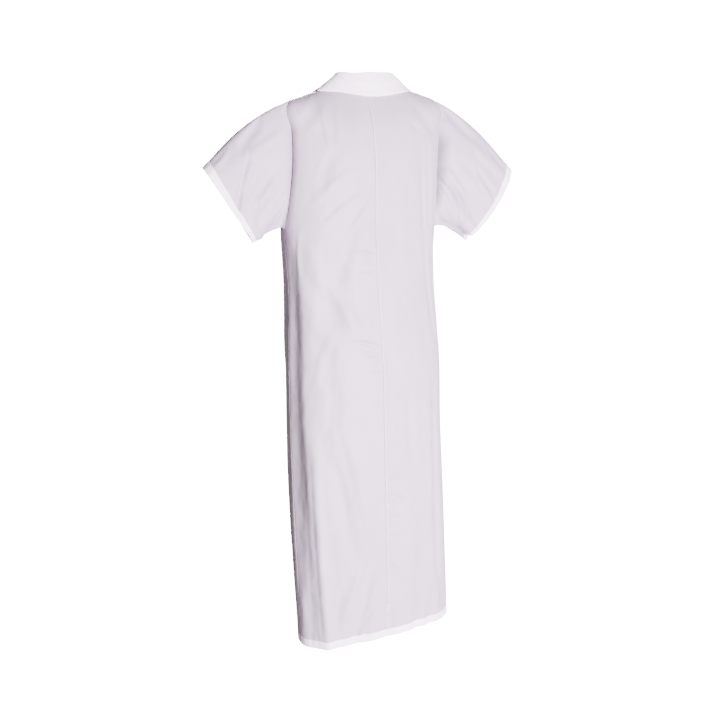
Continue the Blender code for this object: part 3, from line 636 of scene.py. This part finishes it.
# ---- Fronts: two panels of the same cloth that lap at the middle, the right one on top.
# The photo never shows them, so they hang plainly, with the soft drapes such a front has.
OVERLAP = 0.016  # each front's edge lies this far past the middle
OVER_GAP = 0.0007
HEM_LAYERS = 1.9  # hem of the solids in their walls
BAND_WIDTH = 0.030  # cloth turned in along the front edge
FRONT_COLUMNS = 84
FRONT_CREASES = np.array((
    (30, 90, 80, 210, 4, 12, 0.3, 1.4), (60, 110, 130, 260, -4, 12, -0.3, -1.2),
    (160, 310, 110, 430, 6, 12, 0.4, 1.5), (180, 350, 150, 520, 4, 12, -0.3, -1.4),
    (60, 460, 90, 700, -6, 18, 0.3, 1.4), (120, 640, 100, 900, 6, 16, 0.3, -1.4),
    (50, 900, 70, 1170, 4, 14, -0.3, 1.2), (150, 900, 160, 1230, -6, 14, 0.3, 1.8),
    (90, 1080, 100, 1290, 3, 10, 0.3, -1.4), (36, 1190, 46, 1300, 1, 8, 0.3, 1.2),
    (124, 1210, 130, 1302, 1, 8, 0.2, 1.2), (-30, 96, -72, 200, -3, 11, 0.3, 1.3),
    (-70, 120, -140, 280, 4, 13, -0.3, -1.3), (-170, 320, -120, 460, -5, 12, 0.4, 1.6),
    (-190, 360, -170, 560, 4, 11, -0.3, -1.3), (-50, 420, -80, 660, 6, 18, 0.3, -1.3),
    (-110, 600, -90, 860, -6, 16, 0.3, 1.4), (-60, 860, -50, 1120, 4, 14, -0.3, 1.2),
    (-140, 940, -150, 1240, 5, 14, 0.3, -1.6), (-84, 1060, -100, 1290, -3, 11, 0.3, 1.5),
    (-40, 1200, -50, 1300, 1, 8, 0.3, -1.1), (-170, 1200, -176, 1300, 1, 9, 0.2, 1.2),
)) / CREASE_UNITS


def make_front(name, side):
    """One front panel from its free edge, past the middle, to the side seam."""
    drop = body_rows()
    edge = side_angle(drop, side, "front")
    if side > 0:
        edge = np.where(edge < 180.0, edge + 360.0, edge)
    free = 270.0 - side * np.degrees(OVERLAP / ring("half_width", drop))
    share = np.linspace(0.0, 1.0, FRONT_COLUMNS)
    rows, bare, normal, from_edge, from_side = lay_panel(drop, free, edge, share)
    across = side * (from_edge - OVERLAP)
    lift = crease_lift(FRONT_CREASES, across, rows) + slack(across, rows, 1.7)
    lift += pucker(from_side, rows, SIDE_PUCKERS, 0.024, 0.020)
    hold = soft_step(from_side, 0.0, 0.006) * soft_step(from_edge, BAND_WIDTH, 2.0 * BAND_WIDTH)
    lift = lift * hold * soft_step(rows, 0.0, 0.012) + hem_lift(rows, across)
    lift += seam_lift(from_side, False)
    layers = hem_layers(rows)
    if side < 0:
        on_top = 1.0 - soft_step(from_edge, 2.0 * OVERLAP, 3.4 * OVERLAP)
        lift += on_top * (SOLID_WALL * (1.0 + (HEM_LAYERS - 1.0) * (layers - 1.0)) + OVER_GAP)
    outer = bare + normal * lift[..., None]
    outer[:, -1] += unit(outer[:, -2] - outer[:, -1]) * SEAM_PULL
    outer[0] += unit(outer[1] - outer[0]) * SEAM_PULL
    tone_and_shade = np.maximum(layers, 2.0 - soft_step(from_edge, BAND_WIDTH - 0.0005, BAND_WIDTH + 0.0005))
    return sew_panel(name, outer, layers, tone_and_shade, np.stack((across, rows), -1), side < 0)


front_left, front_left_grid = make_front("front_left_cloth", 1)
front_right, front_right_grid = make_front("front_right_cloth", -1)
for panel, node in ((front_left, "front_left"), (front_right, "front_right")):
    panel.data.materials.append(body_cloth)
    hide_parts(node)


# ---- Sleeves: short, set in, one tube each from the armhole to a turned-up hem.
# The cloth stands out stiffly along the shoulder line and closes to a flat fold underneath.
SLEEVE_TURN = 0.020
# side, upper and lower corner of the hem, half depth of its oval, bow, droop, lead
SLEEVES = {
    "sleeve_left": (1, (0.377, 0.025, -0.170), (0.266, 0.002, -0.327), 0.028, 0.012, 0.014, 0.009),
    "sleeve_right": (-1, (-0.380, 0.019, -0.183), (-0.281, 0.004, -0.340), 0.030, 0.010, 0.052, 0.004),
}
SLEEVE_CROWN = 0.0150
SLEEVE_PEAK = 0.85
SLEEVE_BELLY = 0.0080
SLEEVE_SQUARE = 2.3
DROOP_BEHIND = 0.06
SLEEVE_POINTS = 168
CUFF_ZONE = 0.012  # rows are finer from here on, as a share of the length
SLEEVE_EASING = ((0.0, 0.5, 0.0004), (0.27, 0.06, 0.0005))
SLEEVE_VALLEY_HALF = 0.020
HOLLOW_SHARE = {1: 0.0, -1: 2.8}  # hollow behind the right armhole, in depths of its valley
SHADED_HOLLOW = 0.011  # it is deepest this far past the armhole
# shade beside each armhole: middle and half width in metres past it, depth
SLEEVE_SHADE = {1: (0.0, 0.009, 0.08), -1: (0.009, 0.028, 0.36)}
ALONG_STEP = 0.002
# share of the length and turn (0 underarm, 90 back, 180 top, 270 front) at both ends, then as in FOLDS
SLEEVE_FOLDS = {
    "sleeve_left": (
        (0.30, 1.05, 118, 84, 15, -4),
        (0.05, 0.80, 66, 52, 15, -3.5),
        (0.15, 0.95, 92, 66, 11, 3),
        (0.10, 0.90, 250, 280, 16, -4),
        (0.20, 1.00, 288, 310, 14, 3.5)),
    "sleeve_right": (
        (0.00, 0.70, 74, 40, 14, -4.5),
        (0.45, 1.05, 128, 112, 12, -3),
        (0.20, 0.95, 104, 78, 12, 2.5),
        (0.10, 0.85, 246, 282, 16, -4.5),
        (0.25, 1.00, 292, 306, 13, 3.5)),
}
# finer creases, in the same measures
SLEEVE_CREASES = {
    "sleeve_left": (
        (0.26, 0.62, 168, 146, 15, -4.8), (0.30, 0.64, 104, 82, 13, -4),
        (0.48, 0.94, 138, 84, 9, -4), (0.52, 0.98, 126, 70, 9, 3.6),
        (0.42, 0.82, 64, 48, 10, -3.4), (0.10, 0.52, 142, 134, 9, 2.2),
        (0.66, 1.06, 158, 140, 9, 2.2), (0.02, 0.40, 40, 30, 10, -2),
        (0.10, 0.44, 70, 54, 10, 2.6), (0.74, 1.10, 62, 46, 8, 2.2),
        (0.10, 0.60, 230, 240, 9, 2), (0.30, 0.95, 262, 290, 8, -2.4),
        (0.05, 0.50, 320, 330, 9, 2), (0.60, 1.00, 318, 306, 8, -1.8),
        (-0.30, 0.72, 10, 2, 38, -9)),
    "sleeve_right": (
        (0.02, 0.44, 170, 144, 15, -5.4), (0.22, 0.60, 150, 134, 10, 2.6),
        (0.50, 0.90, 116, 96, 7, -3.6), (0.54, 0.94, 104, 84, 7, 3.2),
        (0.00, 0.56, 74, 34, 13, -5), (0.08, 0.64, 94, 56, 11, 3.6),
        (0.30, 0.74, 72, 50, 9, -2.6), (0.62, 1.06, 56, 40, 9, 2.6),
        (0.60, 1.08, 152, 134, 10, -2.4), (0.02, 0.40, 30, 16, 10, 2.2),
        (0.10, 0.60, 226, 238, 9, 2), (0.30, 0.95, 260, 286, 8, -2.4),
        (0.05, 0.50, 322, 334, 9, 2), (0.60, 1.00, 314, 304, 8, -1.8),
        (0.62, 1.40, 24, 22, 22, 5.5), (0.10, 0.86, 2, 8, 26, -7)),
}
# swell of the back of each sleeve beside its armhole: height, turn at its ends
SLEEVE_SWELL = {"sleeve_left": (0.0055, 38.0, 178.0), "sleeve_right": (0.0060, 24.0, 182.0)}


def shoulder_to_tip(name):
    """How far out and how far down a sleeve's upper line runs."""
    tip = SLEEVES[name][1]
    run = abs(tip[0]) - ring("half_width", SHOULDER_DROP)
    return run, ring("side_z", SHOULDER_DROP) - tip[2]


def armhole_drop(turns):
    """Drop at each turn round an armhole, from the shoulder (180) to the underarm (0)."""
    return SHOULDER_DROP + np.abs(180.0 - turns) / 180.0 * (UNDERARM_DROP - SHOULDER_DROP)


def armhole_loop(side, turns):
    """Armhole edge: up the back from the underarm and down the front."""
    drop = armhole_drop(turns)
    back = tube(drop, side_angle(drop, side, "back"))
    front = tube(drop, side_angle(drop, side, "front"))
    return np.where((turns <= 180.0)[..., None], back, front)


def sleeve_point(name, along, turns):
    """Sleeve: straight lines from the armhole (0) to the hem's oval (1), arched and swelled."""
    side, tip, corner, half_depth, bow, droop, lead = SLEEVES[name]
    tip, corner = np.array(tip), np.array(corner)
    along, turns = np.broadcast_arrays(np.asarray(along, float), np.asarray(turns, float) % 360.0)
    cos, sin = np.cos(np.radians(turns)), np.sin(np.radians(turns))
    round_off = (np.abs(cos) ** SLEEVE_SQUARE + np.abs(sin) ** SLEEVE_SQUARE) ** (-1.0 / SLEEVE_SQUARE)
    hem = (tip + corner) / 2 + (corner - tip) / 2 * (cos * round_off)[..., None]
    back = half_depth * sin * round_off + bow * np.abs(sin)
    low = np.clip(cos, 0.0, 1.0) * np.clip(-sin, -DROOP_BEHIND, 1.0)
    hem = hem + np.stack((0.0 * sin, back, -droop * low), -1)
    run, fall = shoulder_to_tip(name)
    outward = unit(np.array([side * run, 0.0, -fall]))
    hem = hem + outward * lead * sin[..., None]
    start = armhole_loop(side, turns)
    arch = np.sin(np.pi * np.clip(along, 0.0, 1.0) ** SLEEVE_PEAK)[..., None]
    rise = unit(np.array([side * fall, 0.0, run]))
    top = np.clip(-cos, 0.0, 1.0)[..., None] ** 2
    belly = np.array([0.0, SLEEVE_BELLY, 0.0]) * sin[..., None]
    return start + (hem - start) * along[..., None] + arch * (SLEEVE_CROWN * top * rise + belly)


def folded_sleeve(name, along, turns):
    """Sleeve with its folds."""
    bare = functools.partial(sleeve_point, name)
    normal = -SLEEVES[name][0] * surface_normal(bare, along, turns, ALONG_STEP, 3 * ANGLE_STEP)
    lift = fold_lift(SLEEVE_FOLDS[name], along, turns % 360.0)
    return bare(along, turns) + normal * lift[..., None]


def sleeve_rows(name):
    """Length of a sleeve's upper line, the share of it at the hem's stitching, and its rows."""
    length = math.hypot(*shoulder_to_tip(name))
    band = 1.0 - SLEEVE_TURN / length
    upper = np.linspace(0.0, band - CUFF_ZONE, 70)
    cuff = np.linspace(band - CUFF_ZONE, 1.0, 22)
    return length, band, np.concatenate((upper, cuff[1:]))


def make_sleeve(name):
    """One sleeve as a closed wall; on the right sleeve the seam turning is raised beside the armhole.
    """
    side = SLEEVES[name][0]
    length, band, share = sleeve_rows(name)
    turns = np.arange(SLEEVE_POINTS) * 360.0 / SLEEVE_POINTS
    along, around = np.meshgrid(share, turns, indexing="ij")
    bare = folded_sleeve(name, along, around)
    folded = functools.partial(folded_sleeve, name)
    here = np.clip(along, 2 * ALONG_STEP, 1.0 - 2 * ALONG_STEP)
    normal = -side * surface_normal(folded, here, around, ALONG_STEP, 3 * ANGLE_STEP)
    across = across_cloth(bare, 0)
    metres = along * length
    from_hem = (along - band) * length
    lift = fold_lift(SLEEVE_CREASES[name], along, around) + slack(across, metres, 2.9)
    lift += pucker(metres, across, SLEEVE_EASING, 0.017, 0.030)
    height, low_turn, high_turn = SLEEVE_SWELL[name]
    swell = height * between(around, low_turn, low_turn + 40.0, high_turn - 40.0, high_turn)
    lift += swell * between(metres, 0.0, 0.020, 0.022, 0.075)
    lift = lift * soft_step(metres, 0.0, 0.006) + seam_lift(metres, side < 0)
    lift -= 0.0005 * hump(from_hem / STITCH_HALF)
    wave = np.sin(across * 250.0 + 2.0 * np.sin(across * 57.0))
    lift += 0.0003 * wave * between(from_hem, -0.03, -0.003, 0.004, 0.015)
    outer = bare + normal * lift[..., None]
    drop = armhole_drop(turns)
    at_back = turns <= 180.0
    into_body = tube_normal(drop, side_angle(drop, side, "back"))
    beyond = metres / SHADED_HOLLOW
    hollow = HOLLOW_SHARE[side] * beyond * np.exp(1.0 - beyond)
    dip = armhole_dip(drop, side) * at_back * (valley(metres, SLEEVE_VALLEY_HALF) + hollow)
    outer -= into_body * dip[..., None]
    outer[0] += unit(outer[1] - outer[0]) * SEAM_PULL
    layers = 1.0 + soft_step(from_hem, -0.0008, 0.0)
    middle, half, deep = SLEEVE_SHADE[side]
    # painted shade: the back of the sleeve is darkened in its colour beside the armhole seam
    tone_and_shade = layers - deep * hump((metres - middle) / half) * armhole_shade(drop) * at_back
    uv = np.stack((across, metres), -1)
    piece, outer = sew_panel(name + "_cloth", outer, layers, tone_and_shade, uv, side < 0, wrap=True)
    piece.data.materials.append(sleeve_cloth)
    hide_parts(name)
    return piece, outer


sleeve_cloth = make_cloth("sleeve_cloth", (0.420, 0.348, 0.443), (0.905, 0.800, 0.930), 0.56)
sleeve_left, sleeve_left_grid = make_sleeve("sleeve_left")
sleeve_right, sleeve_right_grid = make_sleeve("sleeve_right")


# ---- Collar: two layers pressed together, a low stand and a fall folded over it.
# It is sewn all along the neckline, with its two ends meeting at the middle of the front.
COLLAR_WALL = 0.0016
SOLID_COLLAR_WALL = 0.0024
COLLAR_BEND = 0.0019
COLLAR_GAP = 0.0012
FALL_HANG = 1.1
FALL_CLEAR = 2.5
LIFT_COSINE = 0.8
COLLAR_COLUMNS = ("turn", "stand", "fall_drop", "spread")
COLLAR = (
    (0.00, 0.0290, 0.0240, 0.0),
    (0.30, 0.0270, 0.0260, 0.0),
    (0.52, 0.0200, 0.0330, 0.0),
    (0.75, 0.0090, 0.0480, 4.0),
    (1.00, 0.0040, 0.0680, 15.0),
)
COLLAR_SLUMPS = ((-14.0, 32.0, 0.0070), (56.0, 34.0, 0.0028))  # angle, half width, depth
COLLAR_STATIONS = 240
COLLAR_INSET = 0.005  # stitching in from the edge


def collar_path(angle):
    """Middle of the collar's wall at each angle: up the stand, round the fold, down the fall."""
    turn = np.abs(angle - 90.0) / 180.0
    stand = smooth(COLLAR_COLUMNS, COLLAR, "stand", turn)
    slump = sum(deep * hump((angle - middle) / half) ** 2 for middle, half, deep in COLLAR_SLUMPS)
    stand = stand - slump
    fall = smooth(COLLAR_COLUMNS, COLLAR, "fall_drop", turn) - slump
    spread = smooth(COLLAR_COLUMNS, COLLAR, "spread", turn) * np.sign(90.0 - angle)
    base = tube(np.zeros_like(angle), angle)
    up = np.array([0.0, 0.0, 1.0])
    neckline = tube(np.zeros_like(angle), angle + 1.0) - tube(np.zeros_like(angle), angle - 1.0)
    out = unit(np.cross(neckline, up))
    foot = base + up * 0.0004 - out * 0.5 * SOLID_COLLAR_WALL
    crest = foot + up * (stand - COLLAR_BEND)[:, None]
    lines = [foot + (crest - foot) * q for q in np.linspace(0.0, 1.0, 11)]
    for bend in np.linspace(0.0, math.pi, 12)[1:-1]:
        lines.append(crest + COLLAR_BEND * (out * (1 - math.cos(bend)) + up * math.sin(bend)))
    for q in np.linspace(0.0, 1.0, 37):
        side = angle + spread * q
        below = tube(fall * q, side)
        normal = tube_normal(fall * q, side)
        near = (np.cos(np.radians(side - 270.0)) - LIFT_COSINE) / (1.0 - LIFT_COSINE)
        over = np.clip(near, 0.0, 1.0) * (SOLID_WALL + OVER_GAP)
        clear = (COLLAR_GAP + 0.5 * SOLID_COLLAR_WALL + over)[:, None] * min(1.0, FALL_CLEAR * q)
        high = crest + out * 2 * COLLAR_BEND - base
        lines.append(below + high * (1 - q) ** FALL_HANG + normal * clear)
    return np.stack(lines, 1)


def collar_lift(across, from_edge):
    """Pressed collar: an edge row of stitching 5 mm in, a soft rim, and faint waves."""
    groove = -0.00035 * hump((from_edge - COLLAR_INSET) / 0.0014)
    rim = 0.0002 * (1.0 - soft_step(from_edge, 0.001, 0.004))
    wave = 0.0004 * np.sin(across * 43.0 + 1.3 * np.sin(across * 19.0)) * np.sin(from_edge * 90.0 + 0.6)
    return groove + rim + wave


half_end = np.degrees(0.08 * OVERLAP / ring("half_width", 0.0))
collar_angle = np.linspace(-90.0 + half_end, 270.0 - half_end, COLLAR_STATIONS)[::-1]
middle = collar_path(collar_angle)
collar_across = across_cloth(middle.swapaxes(0, 1), 0).T
down_collar = across_cloth(middle, 0)
to_edge = down_collar[:, -1:] - down_collar
to_end = np.minimum(collar_across, collar_across[-1] - collar_across)
collar_face = unit(np.cross(np.gradient(middle, axis=1), np.gradient(middle, axis=0)))
on_fall = soft_step(down_collar, 0.030, 0.040)
lift = COLLAR_WALL / 2 + collar_lift(collar_across, np.minimum(to_edge, to_end)) * on_fall
outer_collar = middle + collar_face * lift[..., None]
collar_uv = np.stack((collar_across, down_collar), -1)
collar_cloth = make_cloth("collar_cloth", (0.970, 0.845, 0.990), (0.970, 0.845, 0.990), 0.52)
collar = cloth_wall("collar_cloth_piece", outer_collar[:, ::-1], np.full(middle.shape[:2], COLLAR_WALL),
                    collar_uv[:, ::-1], np.ones(middle.shape[:2]))
collar.data.materials.append(collar_cloth)
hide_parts("collar")


# ---- Buttons: seven round four-hole buttons of white plastic, turned on a lathe.
# Each stands on the upper front, with a rounded rim and a dished face around its holes.
BUTTON_RADIUS = 0.0085
BUTTON_THICK = 0.0026
BUTTON_POINTS = 72
BUTTON_FACE = 0.66  # height of the dished face, as a share of the thickness
BUTTON_COUNT = 7
BUTTON_FIRST = 0.060
BUTTON_STEP = 0.132
HOLE_RADIUS = 0.00095
HOLE_PLACE = 0.0017  # from the middle to a hole, along both sides of a square
HOLE_DEEP = 0.0013
# radius and height as shares, from the middle of the face over the rim to the underside
BUTTON_PROFILE = (
    (0.00, BUTTON_FACE), (0.30, BUTTON_FACE), (0.52, 0.67), (0.60, 0.76), (0.68, 0.93), (0.76, 1.00),
    (0.86, 0.99), (0.95, 0.86), (1.00, 0.60), (0.98, 0.30), (0.90, 0.08), (0.70, 0.00), (0.00, 0.00))


def button_frame(k):
    """Centre on the cloth, outward direction, side and top direction of a button."""
    drop = np.array([BUTTON_FIRST + k * BUTTON_STEP])
    centre = tube(drop, np.array([270.0]))[0]
    out = tube_normal(drop, np.array([270.0]))[0]
    aside = unit(np.cross(np.array([0.0, 0.0, 1.0]), out))
    return centre + out * (SOLID_WALL + OVER_GAP + 0.0002), out, aside, np.cross(out, aside)


def make_button(k):
    """Lathe of the profile, rounded by cubics; each hole is a dimple 1 - (d / radius)^8 deep."""
    turns = np.arange(BUTTON_POINTS) * 2.0 * math.pi / BUTTON_POINTS
    fine = np.concatenate((np.linspace(0.04, 2.0, 26), np.linspace(2.0, 11.96, 36)[1:]))
    table = [(i, *row) for i, row in enumerate(BUTTON_PROFILE)]
    radius = smooth(("row", "radius", "height"), table, "radius", fine) * BUTTON_RADIUS
    height = smooth(("row", "radius", "height"), table, "height", fine) * BUTTON_THICK
    x, y = radius[:, None] * np.cos(turns), radius[:, None] * np.sin(turns)
    off = np.hypot(np.abs(x) - HOLE_PLACE, np.abs(y) - HOLE_PLACE) / HOLE_RADIUS
    on_face = (fine < 4.0)[:, None]
    z = height[:, None] - on_face * HOLE_DEEP * (1.0 - np.clip(off, 0.0, 1.0) ** 8)
    centre, out, aside, top = button_frame(k)
    points = centre + x[..., None] * aside + y[..., None] * top + z[..., None] * out
    index = np.arange(z.size).reshape(z.shape)
    index = np.concatenate((index, index[:, :1]), 1)
    near = np.arange(1, BUTTON_POINTS // 2 - 1)
    cap = np.stack((near, near + 1, BUTTON_POINTS - 1 - near, BUTTON_POINTS - near), -1)
    quads = np.concatenate((grid_quads(index.T), cap, cap[:, ::-1] + index[-1, 0]))
    piece = new_piece(f"button_{k + 1}_plastic", points.reshape(-1, 3), quads.tolist())
    piece.data.materials.append(button_plastic)
    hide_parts(f"button_{k + 1}")


def make_grained(name, scale, detail, dark, pale, strength, distance, finish):
    """Material with a fine noise of two near colours, which is its bump as well."""
    material = bpy.data.materials.new(name)
    material.use_nodes = True
    tree = material.node_tree
    add = node_maker(tree)
    place = add("TexCoord", {}).outputs["Object"]
    grain = add("TexNoise", {"Vector": place, "Scale": scale, "Detail": detail}).outputs["Fac"]
    colour = add("Mix", {0: grain, 6: (*dark, 1.0), 7: (*pale, 1.0)}, data_type="RGBA")
    bump = add("Bump", {"Height": grain, "Strength": strength, "Distance": distance})
    fill(tree, tree.nodes["Principled BSDF"], {
        "Base Color": colour.outputs[2], "Normal": bump.outputs["Normal"], **finish})
    return material


# moulded plastic: faintly cloudy, with a polished coat
button_plastic = make_grained(
    "button_plastic", 260.0, 3.0, (0.800, 0.790, 0.770), (0.900, 0.895, 0.890), 0.08, 0.0002,
    {"Roughness": 0.26, "Coat Weight": 0.25, "Coat Roughness": 0.12})
for k in range(BUTTON_COUNT):
    make_button(k)


# ---- Thread: white polyester, lockstitched along hems, front edge and collar, and through buttons.
# A stitch is a short spindle that dips into the cloth at both ends; rows of a kind are one piece.
STITCH_PITCH = 0.0030
SPOKES = 5  # points in each of a stitch's four rings
THREAD_RADIUS = 0.00019
BAR_PITCH = 0.01  # one stitch to a bar across the button
BAR_RADIUS = 0.00017
HOLE_PITCH = 0.00055  # the buttonhole's close stitches, round a narrow oval
HOLE_THREAD = 0.00022
HOLE_SINK = 0.00022
HOLE_HALF_LONG = 0.0104
HOLE_HALF_WIDE = 0.0011


def stitches(path, normal, pitch=STITCH_PITCH, radius=THREAD_RADIUS, closed=False):
    """Spindles along a path: four rings of five points, thin and sunk at both ends.

    Stitch k runs from (k + 0.08) to (k + 0.92) pitches along the path.
    """
    if closed:
        path, normal = np.concatenate((path, path[:1])), np.concatenate((normal, normal[:1]))
    run = np.concatenate(([0.0], np.cumsum(np.linalg.norm(np.diff(path, axis=0), axis=1))))
    count = max(1, int(run[-1] / pitch))
    share = np.array([0.08, 0.30, 0.70, 0.92])
    width = np.array([0.45, 1.0, 1.0, 0.45])[None, :, None, None]
    sink = np.array([-0.6, 0.55, 0.55, -0.6])[None, :, None]
    at = (np.arange(count)[:, None] + share) * (run[-1] / count)
    middle = np.stack([np.interp(at, run, path[:, k]) for k in range(3)], -1)
    out = unit(np.stack([np.interp(at, run, normal[:, k]) for k in range(3)], -1))
    ahead = unit(middle[:, 3:] - middle[:, :1])
    aside = unit(np.cross(out, ahead))
    middle = middle + out * (radius * sink)
    turn = np.arange(SPOKES) * 2.0 * math.pi / SPOKES
    spoke = (np.cos(turn)[:, None] * aside[:, :, None] + np.sin(turn)[:, None] * out[:, :, None])
    points = middle[:, :, None] + radius * width * spoke
    rings = np.arange(4 * SPOKES).reshape(4, SPOKES)
    sides = grid_quads(rings[:, [0, 1, 2, 3, 4, 0]])
    ends = np.array([[3, 2, 1, 0], [15, 16, 17, 18]])
    first = (np.arange(count) * 4 * SPOKES)[:, None, None]
    faces = np.concatenate((sides, ends)) + first
    caps = np.array([[0, 4, 3], [15, 18, 19]]) + first
    return points.reshape(-1, 3), faces.reshape(-1, 4), caps.reshape(-1, 3)


def make_thread(name, rows):
    """One piece from several rows of stitches."""
    points, faces, start = [], [], 0
    for row_points, quads, caps in rows:
        points.append(row_points)
        faces += (quads + start).tolist() + (caps + start).tolist()
        start += len(row_points)
    new_piece(name, np.concatenate(points), faces).data.materials.append(thread)


def row_at(grid, places, wanted):
    """Line of a grid at a wanted place between its rows, whose places are given."""
    i = np.searchsorted(places, wanted) - 1
    t = (wanted - places[i]) / (places[i + 1] - places[i])
    return grid[i] * (1.0 - t) + grid[i + 1] * t


def column_at(grid, values, distance):
    """Line down a grid at a distance in from its first column, with other values on it."""
    run = across_cloth(grid, 0)
    j = np.argmax(run > distance, axis=1)
    i = np.arange(len(grid))
    t = ((distance - run[i, j - 1]) / (run[i, j] - run[i, j - 1]))[:, None]
    return values[i, j - 1] * (1.0 - t) + values[i, j] * t


# bright polyester with a fine twist
thread = make_grained(
    "thread", 2600.0, 2.0, (0.780, 0.750, 0.800), (0.880, 0.860, 0.900), 0.35, 0.0001,
    {"Roughness": 0.42, "Sheen Weight": 0.2})
hem_line = HEM_DROP - HEM_TURN + 0.0002
drops = body_rows()
hem_rows = [stitches(row_at(grid, drops, hem_line), row_at(grid_normals(grid), drops, hem_line))
            for grid in (back_left_grid, back_right_grid, front_left_grid, front_right_grid)]
make_thread("hem_stitches", hem_rows)
upper_front = front_right_grid[:, ::-1]
upper_normals = grid_normals(front_right_grid)[:, ::-1]
edge_rows = [stitches(column_at(upper_front, upper_front, inset),
                      column_at(upper_front, upper_normals, inset)) for inset in (0.0040, 0.0290)]
make_thread("front_edge_stitches", edge_rows)
cuff_rows = []
for name, grid in (("sleeve_left", sleeve_left_grid), ("sleeve_right", sleeve_right_grid)):
    length, band, share = sleeve_rows(name)
    normals = grid_normals(grid, wrap=True)
    cuff_rows.append(stitches(row_at(grid, share, band), row_at(normals, share, band), closed=True))
make_thread("cuff_stitches", cuff_rows)
fall = outer_collar[::-1, ::-1]
fall_normals = collar_face[::-1, ::-1]
collar_row = stitches(column_at(fall, fall, COLLAR_INSET), column_at(fall, fall_normals, COLLAR_INSET))
make_thread("collar_stitches", [collar_row])
button_rows = []
oval = np.linspace(0.0, 2.0 * math.pi, 91)
for k in range(BUTTON_COUNT):
    centre, out, aside, top = button_frame(k)
    for place in (-HOLE_PLACE, HOLE_PLACE):
        for shift in (-0.00030, 0.0, 0.00030):
            middle = centre + out * (BUTTON_THICK * BUTTON_FACE) + top * (place + shift)
            bar = middle + np.linspace(-1.25, 1.25, 5)[:, None] * HOLE_PLACE * aside
            button_rows.append(stitches(bar, np.tile(out, (5, 1)), BAR_PITCH, BAR_RADIUS))
    hole = centre - out * HOLE_SINK + HOLE_HALF_LONG * np.sin(oval)[:, None] * top
    hole = hole + HOLE_HALF_WIDE * np.cos(oval)[:, None] * aside
    button_rows.append(stitches(hole, np.tile(out, (91, 1)), HOLE_PITCH, HOLE_THREAD))
make_thread("button_thread", button_rows)
